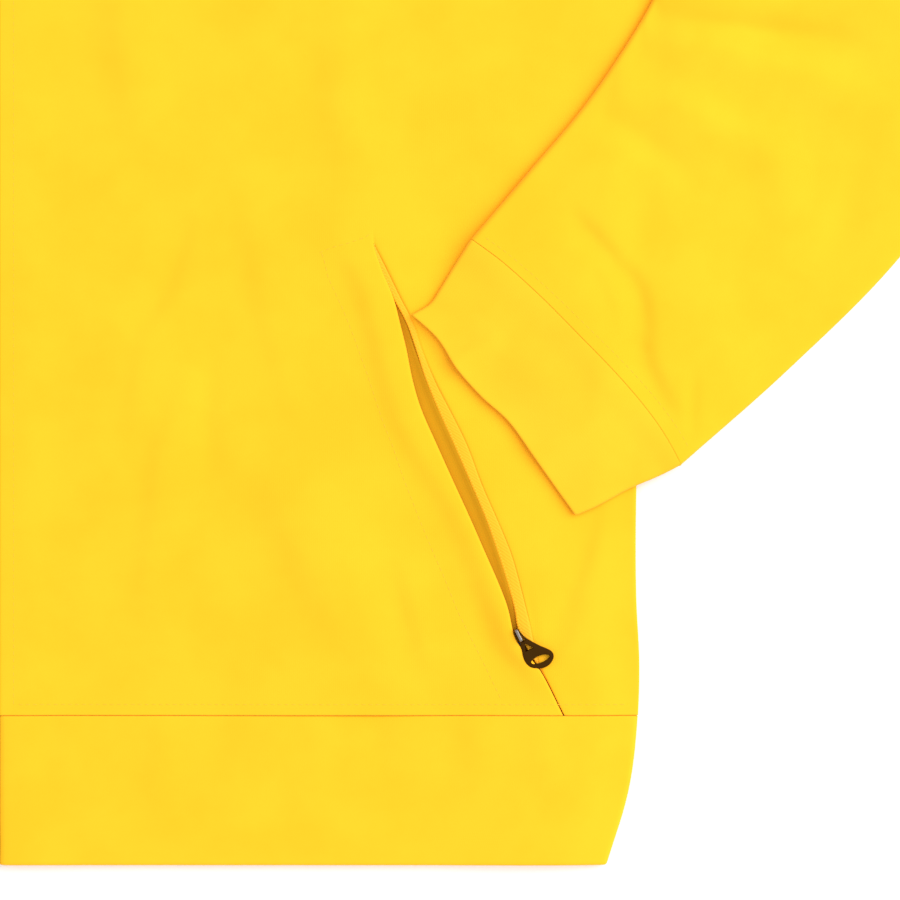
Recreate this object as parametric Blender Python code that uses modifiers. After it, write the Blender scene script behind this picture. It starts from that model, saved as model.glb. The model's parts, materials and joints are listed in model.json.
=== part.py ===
"""A zip-front track jacket laid out flat on its back, both forearms folded in over the front.

Metres, +Z up. Within the garment Y = 0 is the hem's lower edge and X = 0 the centre front; the wearer's
left lies at +X. The empty "track_jacket" moves that frame so that the origin is below the middle.
"""

import math

import bmesh
import bpy
import numpy as np
from mathutils import Matrix, Vector

# Cloth and the stack of layers, from the floor up
CLOTH = 0.0020  # bonded jersey of the body, sleeves, collar and hem band
CUFF_CLOTH = 0.0024  # the cuff's doubled jersey
BAG_CLOTH = 0.0010  # pocket bag
TAPE = 0.0010  # woven zip tape
SEAM_GAP = 0.0003
LAYER_GAP = 0.0004
EDGE_HEIGHT = 2 * CLOTH + SEAM_GAP  # top of the front at its sewn edges
PUFF = 0.0016  # how much the front rises inside its edges
EDGE_SOFT = 0.020  # distance over which it rises
OVERLAY_GAP = 0.0009  # sleeve and cuff over the front

# Body
HEM_BAND = 0.060
UNDERARM_Y = 0.430
SHOULDER = (0.235, 0.655)
NECK_POINT = (0.080, 0.700)
FRONT_NECK_Y = 0.628
BACK_NECK_Y = 0.682
COLLAR_SIDE = (0.077, 0.755)  # top of the collar where it folds at the side of the neck
COLLAR_FRONT_Y = 0.686
COLLAR_BACK_Y = 0.741
FRONT_EDGE = 0.0045  # half the distance between the two fronts, where the zip shows
LENGTH = COLLAR_SIDE[1]

# Side seam, then armhole: y, half width
SIDE = np.array([
    (0.000, 0.2480),
    (0.030, 0.2570),
    (0.060, 0.2606),
    (0.080, 0.2612),
    (0.106, 0.2600),
    (0.152, 0.2600),
    (0.250, 0.2650),
    (0.350, 0.2735),
    (0.430, 0.2800),
])
# Share of the way from underarm to shoulder, half width
ARMHOLE = np.array([
    (0.00, 0.2800),
    (0.07, 0.2655),
    (0.20, 0.2515),
    (0.34, 0.2430),
    (0.50, 0.2378),
    (0.66, 0.2356),
    (0.80, 0.2349),
    (0.93, 0.2348),
    (1.00, 0.2350),
])

# Slanted pocket: y, edge of the front's centre part, coil of the open zip, folded edge of its side part
POCKET = np.array([
    (0.0600, 0.2305, 0.2309, 0.2311),
    (0.0788, 0.2208, 0.2212, 0.2218),
    (0.0830, 0.2172, 0.2184, 0.2204),
    (0.0870, 0.2136, 0.2160, 0.2193),
    (0.0910, 0.2112, 0.2143, 0.2181),
    (0.0955, 0.2100, 0.2128, 0.2173),
    (0.1020, 0.2088, 0.2120, 0.2158),
    (0.1116, 0.2053, 0.2094, 0.2134),
    (0.1256, 0.1992, 0.2047, 0.2094),
    (0.1376, 0.1940, 0.2004, 0.2044),
    (0.1536, 0.1867, 0.1936, 0.1974),
    (0.1696, 0.1795, 0.1864, 0.1914),
    (0.1836, 0.1734, 0.1799, 0.1844),
    (0.1955, 0.1700, 0.1751, 0.1784),
    (0.2070, 0.1678, 0.1714, 0.1735),
    (0.2185, 0.1649, 0.1672, 0.1699),
    (0.2263, 0.1630, 0.1636, 0.1658),
    (0.2380, 0.1581, 0.1584, 0.1602),
    (0.2496, 0.1542, 0.1544, 0.1542),
])
POCKET_TOP = POCKET[-1][0]
POCKET_RAISE = 0.0013  # the zip and bag lift the front this much
POCKET_RAISE_WIDTH = 0.032
POCKET_FACING = 0.019  # stitched line to zip, across the facing
BAG_SIDE = 0.016  # bag past the zip on the side seam's side
BAG_INSET = 0.001  # bag and tapes over the hem band
TAPE_WIDTH = 0.011
TAPE_UNDER_FOLD = 0.008

# Pocket zip's slider and pull
SLIDER_PLACE = (0.21264, 0.0923)
SLIDER_AIM = math.radians(-64)
HINGE_FROM_SLIDER = 0.00065
PULL_AIM = math.radians(-52)
PULL_TILT = math.radians(4)
SLIDER_LIFT = 0.0010  # the front over the slider
SLIDER_LIFT_WIDTH = 0.011
PULL_CLEARANCE = 0.0006  # pull to the cloth under its hinge
PULL_THICK = 0.0015
CROSSBAR = 0.00065  # half its width
BRIDGE_INNER = (0.0019, 0.0012)  # half its length, height over the hinge
BRIDGE_WALL = 0.0008
BRIDGE_CORNER = 0.0006
BRIDGE_CLEARANCE = 0.0006  # under the crossbar
BRIDGE_HALF_WIDTH = 0.0006
PLATE_CORNER = 0.35  # share of a plate's half width
POCKET_PLATE = (0.0026, 0.0082, 0.0006)  # half width, length, thickness

# The moulded pull from its crossbar, in mm along it and across it towards the side seam. Its broad end leans
# to that side, and the finger slot leans with it.
PULL_OUTLINE = (
    (-0.65, -1.9), (4.2, -2.1), (8.6, -3.9), (11.6, -4.5), (14.0, -4.2), (15.9, -2.5), (17.2, 0.2),
    (17.5, 2.9), (16.3, 5.5), (14.7, 6.4), (13.0, 6.1), (10.1, 4.1), (6.7, 2.8), (3.1, 1.9), (-0.65, 1.9),
)
HINGE_WINDOW = ((0.65, -1.1), (3.8, -1.7), (7.0, 0.0), (3.8, 1.7), (0.65, 1.1))
FINGER_SLOT = (13.6, 0.9, 3.9, 1.25, 72)  # centre along and across, half long, half wide, turn in degrees
FINGER_SLOT_SIDES = 14

# Front zip
CENTRE_RAISE = 0.0007
CENTRE_RAISE_FROM = 0.012
CENTRE_RAISE_WIDTH = 0.018
ZIP_TAPE = (0.0008, 0.0150)  # from and to, across
ZIP_TAPE_Z = 0.0032
ZIP_END = 0.003  # tape's ends inside the hem and the collar's top
CHAIN_HALF_WIDTH = 0.0030
CHAIN_Z = (0.0045, 0.0063)
CHAIN_FOOT = 0.013
ZIP_BOX = (0.0070, 0.0095, 0.0021)  # wide, long, high
ZIP_SLIDER_Y = 0.668
ZIP_SLIDER_PLATE = (0.0042, 0.013, 0.0008)  # half width, length, thickness of the upper plate
ZIP_HINGE_RISE = 0.0008  # crossbar over the upper plate

# Sleeve, armhole to cuff seam: row, inner edge x y, outer edge x y, rise
SLEEVE = np.array([
    (0, 0.2813, 0.4309, 0.2360, 0.6552, 0.0006),
    (1, 0.2822, 0.4140, 0.2930, 0.6180, 0.0018),
    (2, 0.2815, 0.3990, 0.3400, 0.5660, 0.0022),
    (3, 0.2790, 0.3840, 0.3830, 0.5000, 0.0024),
    (4, 0.2748, 0.3680, 0.4130, 0.4300, 0.0024),
    (5, 0.2680, 0.3500, 0.4240, 0.3650, 0.0024),
    (6, 0.2560, 0.3290, 0.4060, 0.3000, 0.0024),
    (7, 0.2380, 0.3030, 0.3660, 0.2440, 0.0024),
    (8, 0.2160, 0.2770, 0.3216, 0.1992, 0.0024),
    (9, 0.1936, 0.2508, 0.2776, 0.1603, 0.0018),
])
SLEEVE_TURN = 0.0022  # outer radius where the flat tube turns at its edges
CUFF_SEAM_BOW = 0.0056
ELBOW_FOLD = 0.0014  # height of the folds that fan out from the inner elbow
ELBOW_ROWS = (1.5, 8.5)  # the sleeve's rows between which they lie
ELBOW_FADE = 2.0
RAMP = 0.030  # the forearm comes down from the body to the floor over this
RAMP_START = 0.001  # from the side seam
ARM_RAMP = 0.004  # the upper arm comes down over this, and over ARM_END below the underarm
ARM_RAMP_Y = (0.345, 0.405)  # where one way down turns into the other
ARM_END = (0.418, 0.010)

# Cuff corners: seam's upper and lower end, opening's upper and lower end
CUFF_SEAM = ((0.1932, 0.2504), (0.2772, 0.1600))
CUFF_OPENING = ((0.1692, 0.2208), (0.2352, 0.1392))
CUFF_TURN = 0.0027
CUFF_PUFF = 0.0016

# Columns and rows of the coarse cloth
NECK_STEPS = 6
CENTRE_COLUMNS = (0, 0.14, 0.28, 0.42, 0.56, 0.70, 0.84, 0.94, 1)  # centre front to pocket
SIDE_COLUMNS = (0, 0.12, 0.30, 0.55, 0.80, 1)  # pocket to side seam
SPLIT_TOP_X = 0.135  # where the pocket's column meets the shoulder seam
ROWS_OVER_POCKET = (0.300, 0.345, 0.390, UNDERARM_Y)
BACK_ROWS = (0.08, 0.106, 0.152, 0.20, 0.25, 0.30, 0.35, 0.39, UNDERARM_Y)
ARMHOLE_BEND_FROM = 0.4  # share of the half width that stays straight beside the armhole
BAND_STEPS = (0.0, 0.03, 0.07, 0.12, 0.25, 0.40, 0.55, 0.68, 0.76, 0.83, 0.89, 0.94, 0.97)
BAND_ROWS = (0.0, 0.015, 0.030, 0.045, HEM_BAND - SEAM_GAP / 2)
COLLAR_ROWS = (0.0, 0.35, 0.7, 1.0)
TUBE_STEPS = ARMHOLE[1:-1, 0]
CUFF_ROWS = (0.01, 0.10, 0.30, 0.55, 0.80, 0.94, 1.0)
TURN_DEGREES = (90, 45, 0, -45, -90)

# Broad soft folds of each front: from x y, to x y, half width, height
FRONT_FOLDS = np.array([
    (0.086, 0.330, 0.062, 0.130, 0.018, 0.0014),
    (0.106, 0.150, 0.158, 0.086, 0.015, 0.0013),
    (0.040, 0.470, 0.150, 0.330, 0.022, 0.0016),
    (0.205, 0.560, 0.110, 0.420, 0.022, 0.0016),
    (0.150, 0.600, 0.060, 0.560, 0.020, 0.0012),
])
FOLD_ENDS = 0.6  # a fold's height at its ends, of its middle's
FOLD_FADE = 0.030  # folds begin over this from the front zip
POCKET_FADE = 0.030  # the zip's and bag's lift ends over this above the pocket

# Colour, roughness, metallic
JERSEY = ((0.991, 0.693, 0.030, 1.0), 0.85, 0.0)
ZIP_WEAVE = ((0.955, 0.610, 0.020, 1.0), 0.7, 0.0)
POCKET_KNIT = ((0.955, 0.610, 0.020, 1.0), 0.8, 0.0)
BROWN_PLASTIC = ((0.032, 0.018, 0.011, 1.0), 0.4, 0.0)
NICKEL = ((0.42, 0.40, 0.37, 1.0), 0.35, 1.0)


def smooth(share):
    share = min(max(share, 0.0), 1.0)
    return share * share * (3 - 2 * share)


def curve_at(table, key, column):
    """A smooth curve through one column of a table whose first column rises."""
    keys = table[:, 0]
    values = table[:, column]
    slopes = np.gradient(values, keys)
    key = min(max(key, keys[0]), keys[-1])
    row = min(int(np.searchsorted(keys, key, side="right")) - 1, len(keys) - 2)
    step = keys[row + 1] - keys[row]
    t = (key - keys[row]) / step
    return float(
        (2 * t**3 - 3 * t**2 + 1) * values[row]
        + (t**3 - 2 * t**2 + t) * step * slopes[row]
        + (3 * t**2 - 2 * t**3) * values[row + 1]
        + (t**3 - t**2) * step * slopes[row + 1]
    )


def outline_x(y):
    if y <= UNDERARM_Y:
        return curve_at(SIDE, y, 1)
    return armhole_x((y - UNDERARM_Y) / (SHOULDER[1] - UNDERARM_Y))


def armhole_x(share):
    return float(np.interp(share, ARMHOLE[:, 0], ARMHOLE[:, 1]))


def pocket_x(y, column):
    return float(np.interp(y, POCKET[:, 0], POCKET[:, column]))


def shoulder_y(x):
    slope = (SHOULDER[1] - NECK_POINT[1]) / (SHOULDER[0] - NECK_POINT[0])
    return NECK_POINT[1] + slope * (x - NECK_POINT[0])


def front_base(x, y):
    """Top of the front without its folds, which is also what the sleeve and cuff lie on."""
    inside = outline_x(y) - x
    if x > NECK_POINT[0]:
        inside = min(inside, shoulder_y(x) - y)
    height = EDGE_HEIGHT + PUFF * smooth(inside / EDGE_SOFT)
    if y < POCKET_TOP + POCKET_FADE:
        away = x - 0.5 * (pocket_x(y, 1) + pocket_x(y, 3))
        fade = smooth((POCKET_TOP + POCKET_FADE - y) / POCKET_FADE)
        height += POCKET_RAISE * fade * math.exp(-((away / POCKET_RAISE_WIDTH) ** 2))
    reach = math.hypot(x - SLIDER_PLACE[0], y - SLIDER_PLACE[1])
    height += SLIDER_LIFT * math.exp(-((reach / SLIDER_LIFT_WIDTH) ** 2))
    return height + CENTRE_RAISE * (1 - smooth((x - CENTRE_RAISE_FROM) / CENTRE_RAISE_WIDTH))


def fold_height(x, y):
    height = 0.0
    for x0, y0, x1, y1, width, rise in FRONT_FOLDS:
        along_x, along_y = x1 - x0, y1 - y0
        share = ((x - x0) * along_x + (y - y0) * along_y) / (along_x**2 + along_y**2)
        near = min(max(share, 0.0), 1.0)
        away = math.hypot(x - x0 - near * along_x, y - y0 - near * along_y)
        fullness = FOLD_ENDS + (1 - FOLD_ENDS) * math.sin(math.pi * near)
        height += rise * math.exp(-((away / width) ** 2)) * fullness
    return height


def front_top(x, y):
    return front_base(x, y) + fold_height(x, y) * smooth((x - FRONT_EDGE) / FOLD_FADE)


def overlay_floor(x, y):
    """What a sleeve or cuff lies on: the front, then down past the side seam to the floor."""
    edge = curve_at(SIDE, y, 1)
    height = front_base(min(x, edge), min(y, UNDERARM_Y)) + OVERLAY_GAP
    forearm = smooth((ARM_RAMP_Y[1] - y) / (ARM_RAMP_Y[1] - ARM_RAMP_Y[0]))
    ramp = ARM_RAMP + (RAMP - ARM_RAMP) * forearm
    height *= 1 - smooth((x - edge - RAMP_START) / ramp)
    return height * (1 - smooth((y - ARM_END[0]) / ARM_END[1]))


# Building meshes


def material(name, colour, roughness, metallic):
    made = bpy.data.materials.new(name)
    made.use_nodes = True
    shader = made.node_tree.nodes["Principled BSDF"]
    shader.inputs["Base Color"].default_value = colour
    shader.inputs["Roughness"].default_value = roughness
    shader.inputs["Metallic"].default_value = metallic
    made.diffuse_color = colour
    return made


def add_object(name, data, finish, smooth_faces=False):
    """An object in the jacket's collection, under its empty, with a material of its own."""
    obj = bpy.data.objects.new(name, data)
    jacket.objects.link(obj)
    obj.parent = root
    obj.data.materials.append(material(name, *finish))
    if smooth_faces:
        obj.data.shade_smooth()
    return obj


def mirrored(points, side):
    return [(side * x, y, z) for x, y, z in points]


def mesh_from(name, points, faces):
    mesh = bpy.data.meshes.new(name)
    work = bmesh.new()
    corners = [work.verts.new(point) for point in points]
    for face in faces:
        work.faces.new([corners[i] for i in face])
    bmesh.ops.recalc_face_normals(work, faces=work.faces)
    work.to_mesh(mesh)
    work.free()
    return mesh


def add_panel(name, points, faces, thickness, finish, side=1):
    """One flat-cut piece: its upper face, thickened downward."""
    mesh = mesh_from(name, mirrored(points, side), faces)
    if sum(polygon.normal.z for polygon in mesh.polygons) < 0:
        mesh.flip_normals()
    obj = add_object(name, mesh, finish, smooth_faces=True)
    solid = obj.modifiers.new("cloth", "SOLIDIFY")
    solid.thickness = thickness
    solid.offset = -1
    return obj


def strip_faces(rows, columns):
    return [
        (r * columns + c, r * columns + c + 1, (r + 1) * columns + c + 1, (r + 1) * columns + c)
        for r in range(rows - 1)
        for c in range(columns - 1)
    ]


def add_folded(name, outer, inner, closed, finish, side=1):
    """A cloth that turns back on itself: rows of points outside and inside, joined at the rims."""
    rows, columns = len(outer), len(outer[0])
    points = [point for row in outer + inner for point in row]
    inside = rows * columns
    across = [(c, (c + 1) % columns) for c in range(columns if closed else columns - 1)]
    faces = []
    for r in range(rows - 1):
        for a, b in across:
            quad = (r * columns + a, r * columns + b, (r + 1) * columns + b, (r + 1) * columns + a)
            faces.append(quad)
            faces.append(tuple(inside + corner for corner in reversed(quad)))
    for r in (0, rows - 1):
        for a, b in across:
            start, end = r * columns + a, r * columns + b
            faces.append((start, end, inside + end, inside + start))
    if not closed:
        for c in (0, columns - 1):
            for r in range(rows - 1):
                low, high = r * columns + c, (r + 1) * columns + c
                faces.append((low, high, inside + high, inside + low))
    return add_object(name, mesh_from(name, mirrored(points, side), faces), finish, smooth_faces=True)


def turn(radius, wall):
    """A turned edge, from top to bottom: inset outside, inset inside, height from -1 to 1."""
    rows = []
    for degrees in TURN_DEGREES:
        back = 1 - math.cos(math.radians(degrees))
        rows.append((radius * back, wall + (radius - wall) * back, math.sin(math.radians(degrees))))
    return rows


# Body


def neck_curve(from_x, low_y, end, share):
    """A quarter of an ellipse from the middle of the neck up to its side, and the way into the neck hole."""
    angle = share * math.pi / 2
    wide, high = end[0] - from_x, end[1] - low_y
    point = Vector((from_x + wide * math.sin(angle), low_y + high * (1 - math.cos(angle))))
    inward = Vector((-high * math.sin(angle), wide * math.cos(angle))).normalized()
    return point, inward


def top_edge(from_x, neck_y):
    """Neck then shoulder, one point for each column of a panel's half."""
    row = [neck_curve(from_x, neck_y, NECK_POINT, k / NECK_STEPS)[0] for k in range(NECK_STEPS + 1)]
    spare = len(CENTRE_COLUMNS) - len(row)
    xs = [NECK_POINT[0] + (SPLIT_TOP_X - NECK_POINT[0]) * (k + 1) / spare for k in range(spare)]
    xs += [SPLIT_TOP_X + (SHOULDER[0] - SPLIT_TOP_X) * share for share in SIDE_COLUMNS[1:]]
    return row + [Vector((x, shoulder_y(x))) for x in xs]


def upper_row(low_row, high_row, share):
    """A row between the underarm and the top edge, its last point on the armhole."""
    row = [low.lerp(high, share) for low, high in zip(low_row, high_row)]
    bow = outline_x(row[-1].y) - row[-1].x
    for point in row:
        bent = point.x / SHOULDER[0] - ARMHOLE_BEND_FROM
        point.x += bow * max(bent, 0) / (1 - ARMHOLE_BEND_FROM)
    row[-1].x = outline_x(row[-1].y)
    return row


def front_rows():
    """Rows of the front's outline in plan; below the pocket's top each row is two runs, one each side."""
    rows = []
    for y in POCKET[:, 0]:
        bottom = HEM_BAND + SEAM_GAP / 2 if y == POCKET[0][0] else y
        welt, fold, edge = pocket_x(y, 1), pocket_x(y, 3), outline_x(y)
        centre = [Vector((FRONT_EDGE + (welt - FRONT_EDGE) * s, bottom)) for s in CENTRE_COLUMNS]
        beside = [Vector((fold + (edge - fold) * s, bottom)) for s in SIDE_COLUMNS]
        rows.append((centre, beside))
    for y in ROWS_OVER_POCKET:
        split, edge = pocket_x(y, 1), outline_x(y)
        centre = [Vector((FRONT_EDGE + (split - FRONT_EDGE) * s, y)) for s in CENTRE_COLUMNS]
        rows.append((centre, [Vector((split + (edge - split) * s, y)) for s in SIDE_COLUMNS]))
    low_row = rows[-1][0] + rows[-1][1][1:]
    high_row = top_edge(FRONT_EDGE, FRONT_NECK_Y)
    for share in ARMHOLE[1:, 0]:
        row = upper_row(low_row, high_row, share)
        cut = len(CENTRE_COLUMNS)
        rows.append((row[:cut], row[cut - 1:]))
    return rows


def add_front(name, side):
    points, faces = [], []
    slit_rows = len(POCKET) - 1
    index = []
    for number, (centre, beside) in enumerate(front_rows()):
        first = len(points)
        points += centre
        if number < slit_rows:
            second = len(points)
            points += beside
        else:
            second = len(points) - 1
            points += beside[1:]
        index.append((first, second))
    for (c0, s0), (c1, s1) in zip(index, index[1:]):
        for k in range(len(CENTRE_COLUMNS) - 1):
            faces.append((c0 + k, c0 + k + 1, c1 + k + 1, c1 + k))
        for k in range(len(SIDE_COLUMNS) - 1):
            faces.append((s0 + k, s0 + k + 1, s1 + k + 1, s1 + k))
    solid = [(p.x, p.y, front_top(p.x, p.y)) for p in points]
    return add_panel(name, solid, faces, CLOTH, JERSEY, side)


def add_back(name):
    high_row = top_edge(0.0, BACK_NECK_Y)
    steps = len(high_row) - 1
    half = []
    for y in (HEM_BAND + SEAM_GAP / 2, *BACK_ROWS):
        half.append([Vector((outline_x(y) * k / steps, y)) for k in range(steps + 1)])
    low_row = half[-1]
    for share in ARMHOLE[1:, 0]:
        half.append(upper_row(low_row, high_row, share))
    rows = []
    for row in half:
        right_side = [(p.x, p.y, CLOTH) for p in row]
        rows.append([(-x, y, z) for x, y, z in reversed(right_side[1:])] + right_side)
    points = [point for row in rows for point in row]
    return add_panel(name, points, strip_faces(len(rows), len(rows[0])), CLOTH, JERSEY)


def band_run():
    """Centre front round the side to the centre back: share, inset outside and inside, height."""
    run = [(step, 0.0, 0.0, 1.0) for step in BAND_STEPS]
    run += [(1.0, outer, inner, height) for outer, inner, height in turn(EDGE_HEIGHT / 2, CLOTH)]
    return run + [(step, 0.0, 0.0, -1.0) for step in reversed(BAND_STEPS)]


def add_hem_band(name):
    """One band round the hem, open at the centre front and folded at both sides."""
    outer_rows, inner_rows = [], []
    for y in BAND_ROWS:
        edge = curve_at(SIDE, y, 1)
        outer, inner = [], []
        for share, inset_out, inset_in, height in band_run():
            start = FRONT_EDGE * (height == 1 and share < 1)
            x = start + (edge - start) * share
            thick = front_base(min(x, edge) * curve_at(SIDE, HEM_BAND, 1) / edge, HEM_BAND)
            middle = thick / 2
            outer.append((x - inset_out, y, middle + height * middle))
            inner.append((x - inset_in, y, middle + height * (middle - CLOTH)))
        outer_rows.append(outer + [(-px, py, pz) for px, py, pz in reversed(outer[:-1])])
        inner_rows.append(inner + [(-px, py, pz) for px, py, pz in reversed(inner[:-1])])
    return add_folded(name, outer_rows, inner_rows, False, JERSEY)


def add_collar(name):
    """A stand collar from centre front round the back of the neck, folded flat at the sides."""
    stations = []
    for k in range(NECK_STEPS):
        low, inward = neck_curve(FRONT_EDGE, FRONT_NECK_Y, NECK_POINT, k / NECK_STEPS)
        high = neck_curve(FRONT_EDGE, COLLAR_FRONT_Y, COLLAR_SIDE, k / NECK_STEPS)[0]
        stations.append((low + inward * SEAM_GAP, high, 0.0, 0.0, 1.0))
    side_low = Vector(NECK_POINT) + Vector((-SEAM_GAP, SEAM_GAP))
    for inset_out, inset_in, height in turn(EDGE_HEIGHT / 2, CLOTH):
        stations.append((side_low, Vector(COLLAR_SIDE), inset_out, inset_in, height))
    for k in reversed(range(NECK_STEPS)):
        low, inward = neck_curve(0.0, BACK_NECK_Y, NECK_POINT, k / NECK_STEPS)
        high = neck_curve(0.0, COLLAR_BACK_Y, COLLAR_SIDE, k / NECK_STEPS)[0]
        stations.append((low + inward * SEAM_GAP, high, 0.0, 0.0, -1.0))
    outer_rows, inner_rows = [], []
    for rise in COLLAR_ROWS:
        outer, inner = [], []
        for low, high, inset_out, inset_in, height in stations:
            place = low.lerp(high, rise)
            thick = front_base(low.x, min(low.y, shoulder_y(low.x)))
            middle = thick / 2
            outer.append((place.x - inset_out, place.y, middle + height * middle))
            inner.append((place.x - inset_in, place.y, middle + height * (middle - CLOTH)))
        outer_rows.append(outer + [(-x, y, z) for x, y, z in reversed(outer[:-1])])
        inner_rows.append(inner + [(-x, y, z) for x, y, z in reversed(inner[:-1])])
    return add_folded(name, outer_rows, inner_rows, False, JERSEY)


# Sleeves and cuffs


def tube_run(radius, wall, width):
    """Round a flattened tube: place across outside and inside, height from -1 to 1."""
    near = turn(radius, wall)[::-1]
    far = [(width - outer, width - inner, height) for outer, inner, height in turn(radius, wall)]
    top = [(share * width, share * width, 1.0) for share in TUBE_STEPS]
    bottom = [(share * width, share * width, -1.0) for share in reversed(TUBE_STEPS)]
    return near + top + far + bottom


def sleeve_place(row, share):
    """A point in plan, share of the way from the sleeve's inner edge to its outer edge."""
    inner = Vector((curve_at(SLEEVE, row, 1), curve_at(SLEEVE, row, 2)))
    outer = Vector((curve_at(SLEEVE, row, 3), curve_at(SLEEVE, row, 4)))
    place = inner.lerp(outer, share)
    underarm_x = armhole_x(0)
    chord_x = underarm_x + (SHOULDER[0] - underarm_x) * share
    place.x += max(0, 1 - 2 * row) * (armhole_x(share) - chord_x)
    across = (outer - inner).normalized()
    near_cuff = smooth((row - (len(SLEEVE) - 3)) / 2)
    place += Vector((-across.y, across.x)) * CUFF_SEAM_BOW * near_cuff * 4 * share * (1 - share)
    return place


def tube_thick(radius, rise, share):
    """Thickness of a flattened tube, which rises from its turned edges to its middle."""
    return 2 * radius + rise * max(4 * share * (1 - share), 0) ** 0.6


def sleeve_thick(row, share):
    at_elbow = smooth((row - ELBOW_ROWS[0]) / ELBOW_FADE) * smooth((ELBOW_ROWS[1] - row) / ELBOW_FADE)
    fan = math.sin(math.pi * share) * (1 - share) * at_elbow * math.cos(2 * math.pi * row)
    return tube_thick(SLEEVE_TURN, curve_at(SLEEVE, row, 5), share) + ELBOW_FOLD * fan


def add_sleeve(name, side):
    outer_rows, inner_rows = [], []
    last = len(SLEEVE) - 1
    for row in [step / 2 for step in range(2 * last + 1)]:
        width = (sleeve_place(row, 1) - sleeve_place(row, 0)).length
        outer, inner = [], []
        for out_at, in_at, height in tube_run(SLEEVE_TURN, CLOTH, width):
            for run, at, wall in ((outer, out_at, 0.0), (inner, in_at, CLOTH)):
                place = sleeve_place(row, at / width)
                low = overlay_floor(place.x, place.y)
                thick = sleeve_thick(row, at / width)
                run.append((place.x, place.y, low + thick / 2 + height * (thick / 2 - wall)))
        outer_rows.append(outer)
        inner_rows.append(inner)
    return add_folded(name, outer_rows, inner_rows, True, JERSEY, side)


def cuff_place(along, share):
    """along 0 is the seam and 1 the opening; share runs from the upper corner to the lower one."""
    seam = Vector(CUFF_SEAM[0]).lerp(Vector(CUFF_SEAM[1]), share)
    across = (Vector(CUFF_SEAM[1]) - Vector(CUFF_SEAM[0])).normalized()
    seam += Vector((-across.y, across.x)) * CUFF_SEAM_BOW * 4 * share * (1 - share)
    opening = Vector(CUFF_OPENING[0]).lerp(Vector(CUFF_OPENING[1]), share)
    return seam.lerp(opening, along)


def add_cuff(name, side):
    outer_rows, inner_rows = [], []
    for along in CUFF_ROWS:
        width = (cuff_place(along, 1) - cuff_place(along, 0)).length
        outer, inner = [], []
        for out_at, in_at, height in tube_run(CUFF_TURN, CUFF_CLOTH, width):
            for run, at, wall in ((outer, out_at, 0.0), (inner, in_at, CUFF_CLOTH)):
                place = cuff_place(along, at / width)
                low = overlay_floor(place.x, place.y)
                thick = tube_thick(CUFF_TURN, CUFF_PUFF, at / width)
                run.append((place.x, place.y, low + thick / 2 + height * (thick / 2 - wall)))
        outer_rows.append(outer)
        inner_rows.append(inner)
    return add_folded(name, outer_rows, inner_rows, True, JERSEY, side)


# Zips


def ribbon(low_side, high_side, height):
    """Points and faces of a strip between two edges that are given row by row."""
    points = []
    for start, end in zip(low_side, high_side):
        for share in (0.0, 0.5, 1.0):
            x = start[0] + (end[0] - start[0]) * share
            y = start[1]
            points.append((x, y, height(x, y)))
    return points, strip_faces(len(low_side), 3)


def tape_top(x, y):
    return front_base(x, y) - CLOTH - LAYER_GAP


def add_pocket(word, side):
    """Bag, both tapes, slider and pull of one pocket."""
    rows = POCKET[:-1]
    heights = [max(row[0], HEM_BAND + BAG_INSET) for row in rows]
    coil = [(row[2], y) for row, y in zip(rows, heights)]
    far = [(row[3] + TAPE_UNDER_FOLD, y) for row, y in zip(rows, heights)]
    points, faces = ribbon(coil, far, tape_top)
    add_panel(f"pocket_{word}_tape_side", points, faces, TAPE, ZIP_WEAVE, side)
    hidden = [(row[1] - LAYER_GAP, y) for row, y in zip(rows, heights)]
    start = [(x - TAPE_WIDTH, y) for x, y in hidden]
    points, faces = ribbon(start, hidden, tape_top)
    add_panel(f"pocket_{word}_tape_front", points, faces, TAPE, ZIP_WEAVE, side)
    inner = [(row[1] - POCKET_FACING, y) for row, y in zip(rows, heights)]
    outer = [(row[3] + BAG_SIDE, y) for row, y in zip(rows, heights)]
    bag_top = CLOTH + SEAM_GAP + BAG_CLOTH
    points, faces = ribbon(inner, outer, lambda x, y: bag_top)
    add_panel(f"pocket_{word}_bag", points, faces, BAG_CLOTH, POCKET_KNIT, side)
    half_width, length, thick = POCKET_PLATE
    plate_z = (bag_top + SEAM_GAP, bag_top + SEAM_GAP + thick)
    hinge_z = front_base(*SLIDER_PLACE) + PULL_CLEARANCE + PULL_THICK / 2
    place = (side * SLIDER_PLACE[0], SLIDER_PLACE[1])
    aim = SLIDER_AIM if side > 0 else math.pi - SLIDER_AIM
    add_slider(f"pocket_{word}_slider", place, aim, plate_z, half_width, length, hinge_z)
    pull_aim = PULL_AIM if side > 0 else math.pi - PULL_AIM
    add_pull(f"pocket_{word}_pull", place, aim, pull_aim, hinge_z, PULL_TILT, side)


def outline_mesh(name, loops, half_thick):
    """A flat outline, with any holes, given a thickness: a filled 2D curve turned into a mesh."""
    curve = bpy.data.curves.new(name, "CURVE")
    curve.dimensions = "2D"
    curve.fill_mode = "BOTH"
    curve.extrude = half_thick
    for loop in loops:
        spline = curve.splines.new("POLY")
        spline.points.add(len(loop) - 1)
        for point, (x, y) in zip(spline.points, loop):
            point.co = (x, y, 0, 1)
        spline.use_cyclic_u = True
    holder = bpy.data.objects.new(name, curve)
    jacket.objects.link(holder)
    graph = bpy.context.evaluated_depsgraph_get()
    mesh = bpy.data.meshes.new_from_object(holder.evaluated_get(graph))
    bpy.data.objects.remove(holder)
    work = bmesh.new()
    work.from_mesh(mesh)
    bmesh.ops.remove_doubles(work, verts=work.verts, dist=1e-6)
    bmesh.ops.recalc_face_normals(work, faces=work.faces)
    work.to_mesh(mesh)
    work.free()
    mesh.name = name
    return mesh


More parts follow.
